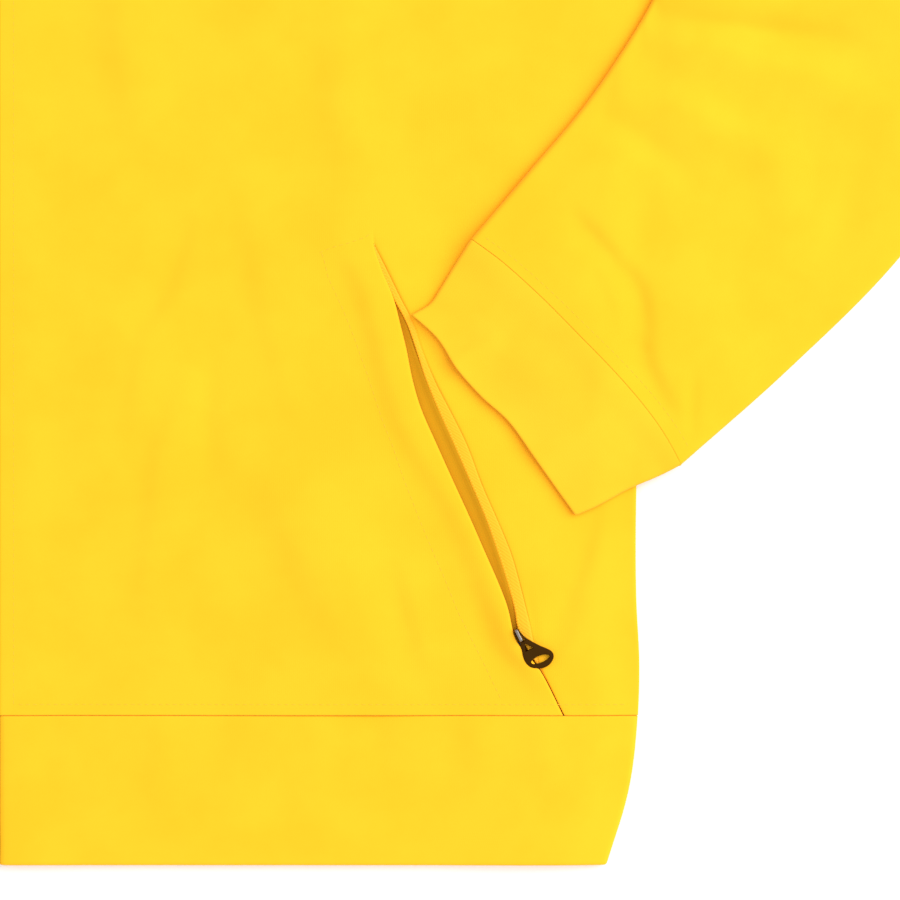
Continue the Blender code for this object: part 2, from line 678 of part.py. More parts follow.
def bridge_loop(hinge_rise, foot_drop):
    """Side view of the slider's spine and the arch over the crossbar; the hinge is at the origin."""
    inner_long, inner_high = BRIDGE_INNER
    outer_long, outer_high = inner_long + BRIDGE_WALL, inner_high + BRIDGE_WALL
    shift = HINGE_FROM_SLIDER
    outer = [
        (shift - outer_long, -foot_drop),
        (shift + outer_long, -foot_drop),
        (shift + outer_long, outer_high - BRIDGE_CORNER),
        (shift + outer_long - BRIDGE_CORNER, outer_high),
        (shift - outer_long + BRIDGE_CORNER, outer_high),
        (shift - outer_long, outer_high - BRIDGE_CORNER),
    ]
    hole = [
        (shift - inner_long, -hinge_rise),
        (shift - inner_long, inner_high),
        (shift + inner_long, inner_high),
        (shift + inner_long, -hinge_rise),
    ]
    return [outer, hole]


def plate_loop(half_width, length):
    """Slider plate in plan, rounded at its corners."""
    half = length / 2
    cut = half_width * PLATE_CORNER
    return [
        (half, -half_width + cut), (half, half_width - cut), (half - cut, half_width),
        (-half + cut, half_width), (-half, half_width - cut), (-half, -half_width + cut),
        (-half + cut, -half_width), (half - cut, -half_width),
    ]


def union_with(obj, helper):
    helper.hide_render = True
    helper.display_type = "WIRE"
    helper.hide_set(True)
    join = obj.modifiers.new("join", "BOOLEAN")
    join.operation = "UNION"
    join.solver = "EXACT"
    join.object = helper


def add_helper(name, mesh):
    obj = bpy.data.objects.new(name, mesh)
    helpers.objects.link(obj)
    obj.parent = root
    return obj


def add_slider(name, place, aim, plate_z, half_width, length, hinge_z, top_plate=None):
    """The plate under the tapes, the spine between them and the arch that holds the pull."""
    loops = bridge_loop(CROSSBAR + BRIDGE_CLEARANCE, hinge_z - (plate_z[0] + plate_z[1]) / 2)
    spine = add_object(name, outline_mesh(name, loops, BRIDGE_HALF_WIDTH), NICKEL)
    hinge = Vector(place) - Vector((math.cos(aim), math.sin(aim))) * HINGE_FROM_SLIDER
    spine.rotation_euler = (math.pi / 2, 0, aim)
    spine.location = (hinge.x, hinge.y, hinge_z)
    plates = [(plate_z, half_width, length)] + ([top_plate] if top_plate else [])
    for number, ((low, high), wide, long) in enumerate(plates):
        mesh = outline_mesh(f"{name}_plate_{number}", [plate_loop(wide, long)], (high - low) / 2)
        plate = add_helper(f"{name}_plate_{number}", mesh)
        plate.rotation_euler = (0, 0, aim)
        plate.location = (*place, (low + high) / 2)
        union_with(spine, plate)
    return spine


def rounded(points):
    """A bowed run that starts and ends at a list's end points and is drawn towards the ones between."""
    run = [Vector(points[0])]
    for before, point, after in zip(points, points[1:], points[2:]):
        start = (Vector(before) + Vector(point)) / 2
        end = (Vector(point) + Vector(after)) / 2
        run += [start, (start + 2 * Vector(point) + end) / 4]
    return run + [end, Vector(points[-1])]


def pull_loops(side):
    """The pull from its crossbar at the origin to its broad end: outline, hinge window, finger slot."""
    centre_along, centre_across, half_long, half_wide, turn_degrees = FINGER_SLOT
    lean = Matrix.Rotation(math.radians(turn_degrees), 2)
    finger = []
    for step in range(FINGER_SLOT_SIDES):
        angle = 2 * math.pi * step / FINGER_SLOT_SIDES
        point = lean @ Vector((half_long * math.cos(angle), half_wide * math.sin(angle)))
        finger.append(point + Vector((centre_along, centre_across)))
    loops = (rounded(PULL_OUTLINE), HINGE_WINDOW, finger)
    return [[(x / 1000, side * y / 1000) for x, y in loop] for loop in loops]


def add_pull(name, place, slider_aim, aim, hinge_z, tilt, side=1):
    """The pull, its origin on the crossbar's axis, which is the hinge."""
    obj = add_object(name, outline_mesh(name, pull_loops(side), PULL_THICK / 2), BROWN_PLASTIC)
    hinge = Vector(place) - Vector((math.cos(slider_aim), math.sin(slider_aim))) * HINGE_FROM_SLIDER
    obj.rotation_euler = (0, tilt, aim)
    obj.location = (hinge.x, hinge.y, hinge_z)
    return obj


def add_zip_box():
    """The box that joins the zip's lower ends."""
    wide, long, high = ZIP_BOX
    bpy.ops.mesh.primitive_cube_add(size=1)
    box = bpy.context.object
    box.name = box.data.name = "zip_box"
    box.data.transform(Matrix.Diagonal((wide, long, high, 1)))
    box.location = (0, ZIP_END + long / 2, CHAIN_Z[0] + high / 2)
    for collection in list(box.users_collection):
        collection.objects.unlink(box)
    jacket.objects.link(box)
    box.parent = root
    box.data.materials.append(material("zip_box", *BROWN_PLASTIC))


def add_front_zip():
    """Both tapes, the closed chain of teeth, the box, the slider and its pull."""
    ends = (ZIP_END, COLLAR_FRONT_Y - ZIP_END)
    for word, side in (("left", 1), ("right", -1)):
        start = [(ZIP_TAPE[0], y) for y in ends]
        end = [(ZIP_TAPE[1], y) for y in ends]
        points, faces = ribbon(start, end, lambda x, y: ZIP_TAPE_Z + TAPE)
        add_panel(f"zip_tape_{word}", points, faces, TAPE, ZIP_WEAVE, side)
    half_width, length, thick = ZIP_SLIDER_PLATE
    ends = (CHAIN_FOOT, ZIP_SLIDER_Y - length / 2 - SEAM_GAP)
    start = [(-CHAIN_HALF_WIDTH, y) for y in ends]
    end = [(CHAIN_HALF_WIDTH, y) for y in ends]
    points, faces = ribbon(start, end, lambda x, y: CHAIN_Z[1])
    add_panel("zip_chain", points, faces, CHAIN_Z[1] - CHAIN_Z[0], BROWN_PLASTIC)
    add_zip_box()
    over_z = CHAIN_Z[1] + SEAM_GAP
    hinge_z = over_z + thick + ZIP_HINGE_RISE + CROSSBAR
    place = (0.0, ZIP_SLIDER_Y)
    aim = -math.pi / 2
    under = (CLOTH + SEAM_GAP, ZIP_TAPE_Z - SEAM_GAP)
    over = ((over_z, over_z + thick), half_width, length)
    add_slider("zip_slider", place, aim, under, half_width, length, hinge_z, over)
    add_pull("zip_pull", place, aim, aim, hinge_z, 0.0)


for old in list(bpy.data.objects):
    bpy.data.objects.remove(old)
jacket = bpy.data.collections.new("Track jacket")
bpy.context.scene.collection.children.link(jacket)
helpers = bpy.data.collections.new("Helpers")
bpy.context.scene.collection.children.link(helpers)
root = bpy.data.objects.new("track_jacket", None)
root.location = (0, -LENGTH / 2, 0)
jacket.objects.link(root)

add_back("back")
add_hem_band("hem_band")
add_collar("collar")
add_front_zip()
for word, side in (("left", 1), ("right", -1)):
    add_front(f"front_{word}", side)
    add_sleeve(f"sleeve_{word}", side)
    add_cuff(f"cuff_{word}", side)
    add_pocket(word, side)
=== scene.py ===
"""Looks of a yellow zip-front track jacket, laid out flat with both forearms folded in over the front.

Metres. Pieces are drawn in the garment's own plan, X from the centre front and Y up from the hem's lower edge,
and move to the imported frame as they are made.
"""

import json
import math

import bmesh
import bpy
import numpy as np
from mathutils import Matrix, Vector
from mathutils.bvhtree import BVHTree


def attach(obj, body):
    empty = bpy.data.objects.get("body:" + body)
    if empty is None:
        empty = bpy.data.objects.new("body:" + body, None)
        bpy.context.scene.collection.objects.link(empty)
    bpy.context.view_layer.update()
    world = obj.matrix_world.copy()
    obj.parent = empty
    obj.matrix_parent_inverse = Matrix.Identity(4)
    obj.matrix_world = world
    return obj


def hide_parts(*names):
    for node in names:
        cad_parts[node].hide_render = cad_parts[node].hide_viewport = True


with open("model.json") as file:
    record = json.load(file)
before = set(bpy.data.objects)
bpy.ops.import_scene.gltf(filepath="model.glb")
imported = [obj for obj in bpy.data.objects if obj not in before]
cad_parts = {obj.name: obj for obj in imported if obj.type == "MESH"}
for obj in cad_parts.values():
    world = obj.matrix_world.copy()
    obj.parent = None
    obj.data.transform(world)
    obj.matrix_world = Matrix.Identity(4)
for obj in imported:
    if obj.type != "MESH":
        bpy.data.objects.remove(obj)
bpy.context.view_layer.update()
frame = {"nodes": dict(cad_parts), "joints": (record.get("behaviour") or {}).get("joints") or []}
bpy.ops.object.select_all(action="DESELECT")


# Back
# The back is one flat-cut piece of bonded jersey, a smooth polyester double knit about 2 mm thick. It lies face
# down on the floor, is sewn to the fronts at the sides and shoulders, and shows only in the neck and from below.

CLOTH = 0.0020  # thickness of the jersey
SEAM = 0.0003  # between two layers
MERGE = 2e-6  # points closer than this are one
HALF_LENGTH = 0.3775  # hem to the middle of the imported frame
HEM_BAND = 0.060
UNDERARM_Y = 0.430
SHOULDER = (0.235, 0.655)
NECK_POINT = (0.080, 0.700)
BACK_NECK_Y = 0.682
TOP_SPLIT = 0.135  # where the line above the pocket meets the shoulder

# Side seam: y, half width
SIDE = np.array([
    (0.000, 0.2480), (0.030, 0.2570), (0.060, 0.2606), (0.080, 0.2612), (0.106, 0.2600),
    (0.152, 0.2600), (0.250, 0.2650), (0.350, 0.2735), (0.430, 0.2800),
])
# Armhole: share of the way from underarm to shoulder, half width
ARMHOLE = np.array([
    (0.00, 0.2800), (0.07, 0.2655), (0.20, 0.2515), (0.34, 0.2430), (0.50, 0.2378),
    (0.66, 0.2356), (0.80, 0.2349), (0.93, 0.2348), (1.00, 0.2350),
])
# Columns of a panel's half, centre to the pocket's line and on to the side: closer at the edges, which are rounded
CENTRE_SHARES = np.concatenate([[0, 0.004], np.linspace(0.03, 0.97, 34), [0.984, 0.996, 1]])
SIDE_SHARES = np.concatenate([[0, 0.01, 0.05], np.linspace(0.13, 0.92, 13), [0.98, 1]])
NECK_SHARE = CENTRE_SHARES[22]  # the column that ends at the neck point
# Rows of a panel: close together above the hem band, then up to the underarm, then by share up to the shoulder
FOOT_ROWS = [HEM_BAND, 0.0605, 0.0620]
BACK_ROWS = np.concatenate([FOOT_ROWS, np.linspace(0.068, UNDERARM_Y, 40)])
UPPER_SHARES = np.concatenate([np.linspace(0, 0.975, 44)[1:], [0.992, 0.998, 1]])
BOW_FROM = 0.4  # the armhole's bow moves the columns beyond this share of the half width
CREASE_FADE = 0.7  # how softly a crease dies away at its ends
DYE_PATCH = 1 / 34  # m, from one uneven patch of dye to the next


def ease(share):
    share = np.clip(share, 0, 1)
    return share * share * (3 - 2 * share)


def curve_at(table, key, column):
    """A smooth curve through one column of a table whose first column rises."""
    keys, values = table[:, 0], table[:, column]
    slopes = np.gradient(values, keys)
    key = np.clip(key, keys[0], keys[-1])
    row = np.clip(np.searchsorted(keys, key, side="right") - 1, 0, len(keys) - 2)
    step = keys[row + 1] - keys[row]
    t = (key - keys[row]) / step
    return (
        (2 * t**3 - 3 * t**2 + 1) * values[row] + (t**3 - 2 * t**2 + t) * step * slopes[row]
        + (3 * t**2 - 2 * t**3) * values[row + 1] + (t**3 - t**2) * step * slopes[row + 1]
    )


def outline_x(y):
    armhole = curve_at(ARMHOLE, (y - UNDERARM_Y) / (SHOULDER[1] - UNDERARM_Y), 1)
    return np.where(y <= UNDERARM_Y, curve_at(SIDE, y, 1), armhole)


def shoulder_y(x):
    slope = (SHOULDER[1] - NECK_POINT[1]) / (SHOULDER[0] - NECK_POINT[0])
    return NECK_POINT[1] + slope * (x - NECK_POINT[0])


def neck_arc(from_x, low_y, end, share):
    """A quarter of an ellipse from the middle of the neck up to its side, and the way into the neck hole."""
    angle = np.asarray(share) * math.pi / 2
    wide, high = end[0] - from_x, end[1] - low_y
    place = np.stack([from_x + wide * np.sin(angle), low_y + high * (1 - np.cos(angle))], -1)
    inward = np.stack([-high * np.sin(angle), wide * np.cos(angle)], -1)
    return place, inward / np.linalg.norm(inward, axis=-1, keepdims=True)


def top_edge(from_x, neck_y):
    """Neck and shoulder of a panel's half: one point for each column, split in two runs."""
    neck = neck_arc(from_x, neck_y, NECK_POINT, np.minimum(CENTRE_SHARES / NECK_SHARE, 1))[0]
    past = np.maximum(CENTRE_SHARES - NECK_SHARE, 0) / (1 - NECK_SHARE)
    neck[:, 0] += past * (TOP_SPLIT - NECK_POINT[0])
    neck[:, 1] = np.where(past > 0, shoulder_y(neck[:, 0]), neck[:, 1])
    x = TOP_SPLIT + (SHOULDER[0] - TOP_SPLIT) * SIDE_SHARES
    return neck, np.stack([x, shoulder_y(x)], -1)


def upper_rows(low, high):
    """Rows of plan points from the underarm to the neck and shoulder, the last of each on the armhole."""
    rows = []
    for share in UPPER_SHARES:
        row = low + (high - low) * share
        bow = outline_x(row[-1, 1]) - row[-1, 0]
        row[:, 0] += bow * np.clip(row[:, 0] / SHOULDER[0] - BOW_FROM, 0, None) / (1 - BOW_FROM)
        row[-1, 0] = outline_x(row[-1, 1])
        rows.append(row)
    return rows


def flat_patch(rows):
    """A grid of plan rows as points at height 0 that lift fully, and their place in the cut."""
    plan = np.array(rows)
    return np.dstack([plan, np.zeros(plan.shape[:2]), np.ones(plan.shape[:2])]), plan


def add_piece(name, mesh):
    """A mesh as an object at the origin, made active so that modifiers can be applied."""
    piece = bpy.data.objects.new(name, mesh)
    bpy.context.scene.collection.objects.link(piece)
    bpy.context.view_layer.objects.active = piece
    return piece


def cloth_mesh(name, patches, wall=0.0, side=1):
    """A piece of cloth from grids of points that meet at their edges, each with its place in the cut.

    A point is x, y, z and how far the piece's creases lift it. With a wall, the grids are the cloth's upper face.
    """
    points, faces, cuts = [], [], []
    for grid, cut in patches:
        rows, columns = grid.shape[:2]
        at = np.arange(rows * columns).reshape(rows, columns) + sum(map(len, points))
        corners = [at[:-1, :-1], at[:-1, 1:], at[1:, 1:], at[1:, :-1]]
        faces.append(np.stack(corners, -1).reshape(-1, 4))
        places = [cut[:-1, :-1], cut[:-1, 1:], cut[1:, 1:], cut[1:, :-1]]
        cuts.append(np.stack(places, -2).reshape(-1, 2))
        points.append(grid.reshape(-1, 4))
    points = np.concatenate(points)
    mesh = bpy.data.meshes.new(name)
    mesh.from_pydata(points[:, :3] * (side, 1, 1) - (0, HALF_LENGTH, 0), [], np.concatenate(faces).tolist())
    mesh.uv_layers.new(name="cut").uv.foreach_set("vector", np.concatenate(cuts).astype(np.float32).ravel())
    mesh.attributes.new("lift", "FLOAT", "POINT").data.foreach_set("value", points[:, 3].astype(np.float32))
    work = bmesh.new()
    work.from_mesh(mesh)
    bmesh.ops.remove_doubles(work, verts=work.verts, dist=MERGE)
    bmesh.ops.recalc_face_normals(work, faces=work.faces)
    if wall and sum(face.normal.z for face in work.faces) < 0:
        bmesh.ops.reverse_faces(work, faces=work.faces)
    work.to_mesh(mesh)
    work.free()
    cloth = add_piece(name, mesh)
    if wall:
        thicken = cloth.modifiers.new("wall", "SOLIDIFY")
        thicken.thickness = wall
        thicken.offset = -1
        bpy.ops.object.modifier_apply(modifier="wall")
    soften = cloth.modifiers.new("rounding", "SUBSURF")
    soften.levels = soften.render_levels = 1
    bpy.ops.object.modifier_apply(modifier="rounding")
    mesh.shade_smooth()
    return cloth


def drape(cloth, height, side=1):
    """Raises each point of a piece by height(x, y, lift), x mirrored on the wearer's right."""
    mesh = cloth.data
    places = np.empty(len(mesh.vertices) * 3)
    mesh.vertices.foreach_get("co", places)
    places = places.reshape(-1, 3)
    lift = np.empty(len(mesh.vertices), np.float32)
    mesh.attributes["lift"].data.foreach_get("value", lift)
    places[:, 2] += height(places[:, 0] * side, places[:, 1] + HALF_LENGTH, lift.astype(float))
    mesh.vertices.foreach_set("co", places.ravel())
    mesh.update()


def along(x, y, path):
    """Distance to a path of plan points, less than 0 on its right, and the share of the way along it."""
    best = np.full(x.shape, np.inf)
    signed, share = np.zeros(x.shape), np.zeros(x.shape)
    for number, (start, end) in enumerate(zip(path, path[1:])):
        dx, dy = end - start
        length = math.hypot(dx, dy)
        t = np.clip(((x - start[0]) * dx + (y - start[1]) * dy) / length**2, 0, 1)
        away = np.hypot(x - start[0] - t * dx, y - start[1] - t * dy)
        nearer = away < best
        best = np.where(nearer, away, best)
        cross = dx * (y - start[1]) - dy * (x - start[0])
        signed = np.where(nearer, np.copysign(away, cross), signed)
        share = np.where(nearer, (number + t) / (len(path) - 1), share)
    return signed, share


def bent_path(points, steps=16):
    """Plan points on a smooth bow from the first of three points, past the second, to the third."""
    start, middle, end = np.reshape(points, (3, 2))
    t = np.linspace(0, 1, steps + 1)[:, None]
    return (1 - t) ** 2 * start + 2 * t * (1 - t) * (2 * middle - (start + end) / 2) + t**2 * end


def creases(x, y, table):
    """Soft ridges, or troughs where the height is below 0.

    In mm: from x y, past x y, to x y, the width on the path's right, the width on its left, the height.
    """
    lift = np.zeros(x.shape)
    for row in table:
        path = bent_path(row[:6]) / 1000
        right, left, height = np.array(row[6:]) / 1000
        reach = 3 * max(left, right)  # beyond three widths a crease is flat
        low, high = path.min(0) - reach, path.max(0) + reach
        near = np.flatnonzero((x > low[0]) & (x < high[0]) & (y > low[1]) & (y < high[1]))
        if not len(near):
            continue
        away, share = along(x[near], y[near], path)
        width = np.where(away > 0, left, right)
        lift[near] += height * np.exp(-((away / width) ** 2)) * np.sin(math.pi * share) ** CREASE_FADE
    return lift


def linear(hex_colour):
    """A colour given as sRGB hex, as the linear values that a shader takes."""
    parts = [int(hex_colour[i:i + 2], 16) / 255 for i in (1, 3, 5)]
    return tuple(c / 12.92 if c <= 0.04045 else ((c + 0.055) / 1.055) ** 2.4 for c in parts) + (1.0,)


def add_node(material, kind, values=(), links=(), **settings):
    """One node: its settings, its sockets' values and the sockets that feed it."""
    made = material.node_tree.nodes.new(kind)
    for name, value in settings.items():
        setattr(made, name, value)
    for socket, value in dict(values).items():
        made.inputs[socket].default_value = value
    for socket, source in dict(links).items():
        material.node_tree.links.new(source, made.inputs[socket])
    return made


def new_finish(name, **values):
    """A material and its shader, with constant values set on the shader's own sockets."""
    made = bpy.data.materials.new(name)
    made.use_nodes = True
    shader = made.node_tree.nodes["Principled BSDF"]
    for socket, value in values.items():
        shader.inputs[socket.replace("_", " ")].default_value = value
    return made, shader


def bonded_jersey(name, face, shade, wale=0.8):
    """Bonded polyester jersey, knitted fine and smooth: matt, with a faint sheen, columns of stitches and dye a
    shade uneven. Real wales are 0.4 mm apart, too fine to show, so they are drawn 0.8 to 1 mm apart."""
    made, shader = new_finish(
        name, Roughness=0.86, Specular_IOR_Level=0.22, Sheen_Weight=0.06, Sheen_Roughness=0.45
    )
    cut = add_node(made, "ShaderNodeUVMap", uv_map="cut")
    mm = add_node(made, "ShaderNodeVectorMath", {"Scale": 1000}, {0: cut.outputs["UV"]}, operation="SCALE")
    place = add_node(made, "ShaderNodeTexCoord")
    dye = add_node(
        made, "ShaderNodeTexNoise", {"Scale": 1 / DYE_PATCH, "Detail": 3.0, "Roughness": 0.55},
        {"Vector": place.outputs["Object"]},
    )
    tones = add_node(made, "ShaderNodeValToRGB", links={"Fac": dye.outputs["Fac"]})
    tones.color_ramp.elements[0].position = 0.35
    tones.color_ramp.elements[0].color = linear(shade)
    tones.color_ramp.elements[1].position = 0.62
    tones.color_ramp.elements[1].color = linear(face)
    made.node_tree.links.new(tones.outputs["Color"], shader.inputs["Base Color"])
    period = 2 * math.pi / 20  # of Blender's wave at scale 1
    course = wale * 0.8
    heights = []
    for direction, pitch in (("X", wale), ("Y", course)):
        heights.append(add_node(
            made, "ShaderNodeTexWave", {"Scale": period / pitch, "Distortion": 0.6, "Detail": 1.0},
            {"Vector": mm.outputs[0]}, bands_direction=direction,
        ))
    knit = add_node(
        made, "ShaderNodeMath", {2: 0.15}, {0: heights[0].outputs["Fac"], 1: heights[1].outputs["Fac"]},
        operation="MULTIPLY_ADD",
    )
    relief = add_node(
        made, "ShaderNodeBump", {"Strength": 0.25, "Distance": 0.00008}, {"Height": knit.outputs[0]}
    )
    made.node_tree.links.new(relief.outputs["Normal"], shader.inputs["Normal"])
    return made


jersey = bonded_jersey("bonded_jersey", "#FBB81B", "#F9B417")


def dress(piece, finish, body="jacket"):
    """Gives a finished piece its material and record slot, and lets it ride."""
    piece.data.materials.clear()
    piece.data.materials.append(finish)
    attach(piece, body)


BACK_CREASES = (
    (-60, 560, -10, 420, -70, 300, 16, 22, 1.08),
    (90, 600, 130, 430, 60, 260, 22, 16, 1.22),
    (-210, 520, -150, 480, -110, 400, 14, 20, 1.08),
    (190, 330, 150, 220, 170, 120, 18, 14, 0.94),
    (-160, 250, -120, 170, -140, 90, 16, 16, 1.08),
    (10, 220, 30, 150, 0, 90, 15, 20, 0.94),
)

centre_top, side_top = top_edge(0.0, BACK_NECK_Y)
back_top = np.concatenate([centre_top, side_top[1:]])
back_spread = back_top[:, 0] / SHOULDER[0]
back_rows = [
    np.stack([outline_x(y) * back_spread, np.full(len(back_spread), y)], -1)
    for y in BACK_ROWS
]
back_rows += upper_rows(back_rows[-1], back_top)
back_rows = [np.concatenate([row[:0:-1] * (-1, 1), row]) for row in back_rows]
back = cloth_mesh("back_jersey", [flat_patch([row[::2] for row in back_rows])], CLOTH)
drape(back, lambda x, y, lift: CLOTH + creases(x, y, BACK_CREASES))
dress(back, jersey)
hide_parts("back")


# Fronts
# Left and right front are flat-cut from the same jersey. Each is slit for a slanted zip pocket: the edge towards
# the centre is a turned, rolled lip, the edge towards the side is folded flat over the zip's tape.

EDGE_HEIGHT = 2 * CLOTH + SEAM  # top of the front at its seams
PUFF = 0.0016  # and it rises this much inside them, over EDGE_SOFT
EDGE_SOFT = 0.020
FRONT_EDGE = 0.0045  # from the centre to the turned edge beside the zip
FRONT_NECK_Y = 0.628
POCKET_RAISE = 0.0013  # the bag and zip lift the cloth beside the pocket this much
POCKET_RAISE_WIDTH = 0.032
POCKET_RAISE_END = 0.03  # above the pocket's top
SLIDER_PLACE = (0.21264, 0.0923)
SLIDER_LIFT = 0.0010
SLIDER_LIFT_WIDTH = 0.011
CENTRE_RAISE = 0.0007  # the front zip's tape lifts the edge this much
CENTRE_RAISE_FROM = 0.012
CENTRE_RAISE_WIDTH = 0.018
CENTRE_CALM = 0.03  # creases fade towards the front zip over this
SLIT_HALF_GAP = 0.0002  # where the slit is shut
SLIT_SHUT = 0.0850  # below this height, over SLIT_SHUT_OVER
SLIT_SHUT_OVER = 0.006
LIP_ROLL = 0.00015  # how far the rolled lip drops at its edge
LIP_SHUT_SHARE = 0.2  # of that where the slit is shut
LIP_WIDTH = 0.0015
LIP_RISE = 0.0015  # the facing and zip behind it lift it this much
LIP_LOW = (0.185, 0.050)  # below this height, over this, the lip is fuller and closer to its edge
LIP_FROM = (0.0180, 0.0050)  # its rise starts this far from the edge, and so much closer in the low part
LIP_FULL = (0.0090, 0.0065)  # and is full here
LIP_HIGH_SHARE = 0.55  # of its rise in the high part
FOLD_DROP = 0.0003  # the flat fold towards the side drops this much at its edge
FOLD_WIDTH = 0.0030
SLIT_END = 0.004  # lip and fold fade out over this above the slit

# Slanted pocket: y, edge of the lip, coil of the open zip, folded edge
POCKET = np.array([
    (0.0600, 0.2305, 0.2309, 0.2311), (0.0788, 0.2208, 0.2212, 0.2218), (0.0830, 0.2172, 0.2184, 0.2204),
    (0.0870, 0.2136, 0.2160, 0.2193), (0.0910, 0.2112, 0.2140, 0.2181), (0.0955, 0.2100, 0.2121, 0.2173),
    (0.1020, 0.2088, 0.2111, 0.2158), (0.1116, 0.2053, 0.2085, 0.2134), (0.1256, 0.1992, 0.2041, 0.2094),
    (0.1376, 0.1940, 0.1999, 0.2044), (0.1536, 0.1867, 0.1932, 0.1974), (0.1696, 0.1795, 0.1862, 0.1914),
    (0.1836, 0.1734, 0.1799, 0.1844), (0.1955, 0.1700, 0.1751, 0.1784), (0.2070, 0.1678, 0.1714, 0.1735),
    (0.2185, 0.1649, 0.1672, 0.1699), (0.2263, 0.1630, 0.1629, 0.1658), (0.2380, 0.1581, 0.1574, 0.1602),
    (0.2496, 0.1542, 0.1534, 0.1542),
])
POCKET_TOP = POCKET[-1][0]
# Foot and top of what goes up the pocket, each with the length over which it comes in
MOUTH_OPEN = (0.084, 0.026, POCKET_TOP - 0.002, 0.060)
LIP_ENDS = (0.062, 0.020, POCKET_TOP, 0.010)
BAG_ENDS = (0.084, 0.012, POCKET_TOP - 0.002, 0.010)
SLIT_ROWS = np.concatenate([FOOT_ROWS, [0.0660], np.linspace(0.070, POCKET_TOP, 44)])
ROWS_ABOVE = np.linspace(POCKET_TOP, UNDERARM_Y, 38)[1:]

# Creases of the left front, from the photograph below the chest; the columns are those of creases()
LEFT_CREASES = (
    (202, 266, 188.5, 249, 175.5, 229, 11, 2.6, -1.20),
    (168, 217.5, 176, 209.5, 186, 194, 6, 2.6, -0.90),
    (80, 262, 71, 232, 56, 212, 9, 4, -0.80),
    (66, 218, 62, 196, 60, 172, 5, 12, 0.65),
    (72, 180, 68, 148, 62, 96, 4.5, 12, 0.80),
    (90, 206, 88, 180, 90, 150, 5, 5, -0.60),
    (80, 200, 77, 184, 72, 166, 5, 8, 0.50),
    (108, 262, 112, 226, 130, 166, 6, 14, 0.80),
    (112, 164, 126, 128, 152, 80, 9, 20, 1.50),
    (130, 180, 144, 124, 160, 40, 45, 20, 2.00),
    (166, 124, 171, 103, 178, 74, 3.5, 8, 1.00),
    (150, 246, 160, 206, 176, 150, 6, 12, 0.80),
    (190, 112, 200, 96, 212, 76, 8, 4, -0.80),
    (243, 150, 237, 120, 220, 84, 8, 4, -1.00),
    (238, 108, 231, 94, 223, 78, 7, 3.5, -0.70),
    (216, 112, 218.3, 100, 220.4, 88, 1.5, 1.2, -0.30),
    (14, 480, 70, 420, 150, 330, 24, 18, 2.43),
    (40, 520, 100, 470, 170, 380, 16, 12, -1.35),
    (214, 590, 165, 505, 112, 420, 16, 22, 2.56),
    (228, 540, 196, 470, 176, 400, 12, 16, -1.49),
    (236, 500, 222, 440, 224, 380, 10, 13, 1.62),
    (150, 620, 105, 585, 48, 560, 14, 18, 1.89),
    (205, 640, 180, 600, 150, 580, 12, 14, 1.35),
    (262, 436, 240, 410, 215, 396, 7, 9, -1.22),
    (60, 400, 54, 350, 66, 280, 9, 14, 1.22),
    (150, 360, 142, 310, 150, 262, 9, 13, 1.08),
)
RIGHT_CREASES = (
    (70, 310, 62, 210, 74, 110, 12, 12, 1.05),
    (92, 280, 86, 200, 96, 130, 9, 12, -0.75),
    (120, 290, 126, 230, 118, 170, 9, 10, 0.68),
    (110, 150, 136, 108, 164, 78, 9, 12, 0.90),
    (96, 140, 112, 98, 140, 70, 8, 10, -0.68),
    (186, 136, 202, 102, 215, 74, 7, 6, -0.90),
    (248, 130, 242, 104, 232, 76, 6, 8, -0.75),
    (28, 230, 32, 160, 24, 84, 9, 12, 0.68),
    (20, 500, 84, 432, 140, 340, 20, 22, 2.43),
    (50, 540, 112, 480, 158, 400, 12, 16, -1.42),
    (208, 600, 158, 512, 120, 410, 18, 22, 2.63),
    (230, 530, 204, 466, 186, 410, 11, 15, -1.51),
    (234, 496, 226, 450, 232, 396, 12, 12, 1.42),
    (160, 624, 120, 592, 60, 566, 16, 18, 1.82),
    (258, 438, 236, 414, 206, 402, 9, 10, -1.22),
    (46, 380, 50, 330, 40, 280, 12, 14, 1.01),
)


# Waves of cloth smoothed by hand: strength, turns along x and along y, start
HANG = 0.00012
HANG_WAVES = (
    (1, 61, 23, 0.7), (1, -38, 71, 2.1), (0.7, 113, -47, 4.0), (0.40, 231, 96, 1.3), (0.35, -173, 208, 5.2),
)


def between(place, foot, foot_over, top, top_over):
    """1 from foot to top, easing in from 0 and out to 0 over the lengths given."""
    return ease((place - foot) / foot_over) * ease((top - place) / top_over)


def front_rest(x, y):
    """Top of a front without creases, which is also what the sleeve and cuff lie on."""
    inside = outline_x(y) - x
    inside = np.where(x > NECK_POINT[0], np.minimum(inside, shoulder_y(x) - y), inside)
    height = EDGE_HEIGHT + PUFF * ease(inside / EDGE_SOFT)
    away = x - 0.5 * (curve_at(POCKET, y, 1) + curve_at(POCKET, y, 3))
    fade = ease((POCKET_TOP + POCKET_RAISE_END - y) / POCKET_RAISE_END)
    height += POCKET_RAISE * fade * np.exp(-((away / POCKET_RAISE_WIDTH) ** 2))
    reach = np.hypot(x - SLIDER_PLACE[0], y - SLIDER_PLACE[1])
    height += SLIDER_LIFT * np.exp(-((reach / SLIDER_LIFT_WIDTH) ** 2))
    return height + CENTRE_RAISE * (1 - ease((x - CENTRE_RAISE_FROM) / CENTRE_RAISE_WIDTH))


def slit_edge(y, column):
    """Lip (1) or fold (3) of the pocket, which all but meet below the slider."""
    middle = (curve_at(POCKET, y, 1) + curve_at(POCKET, y, 3)) / 2
    middle += SLIT_HALF_GAP * (column - 2)
    shut = ease((SLIT_SHUT - y) / SLIT_SHUT_OVER)
    return curve_at(POCKET, y, column) * (1 - shut) + middle * shut


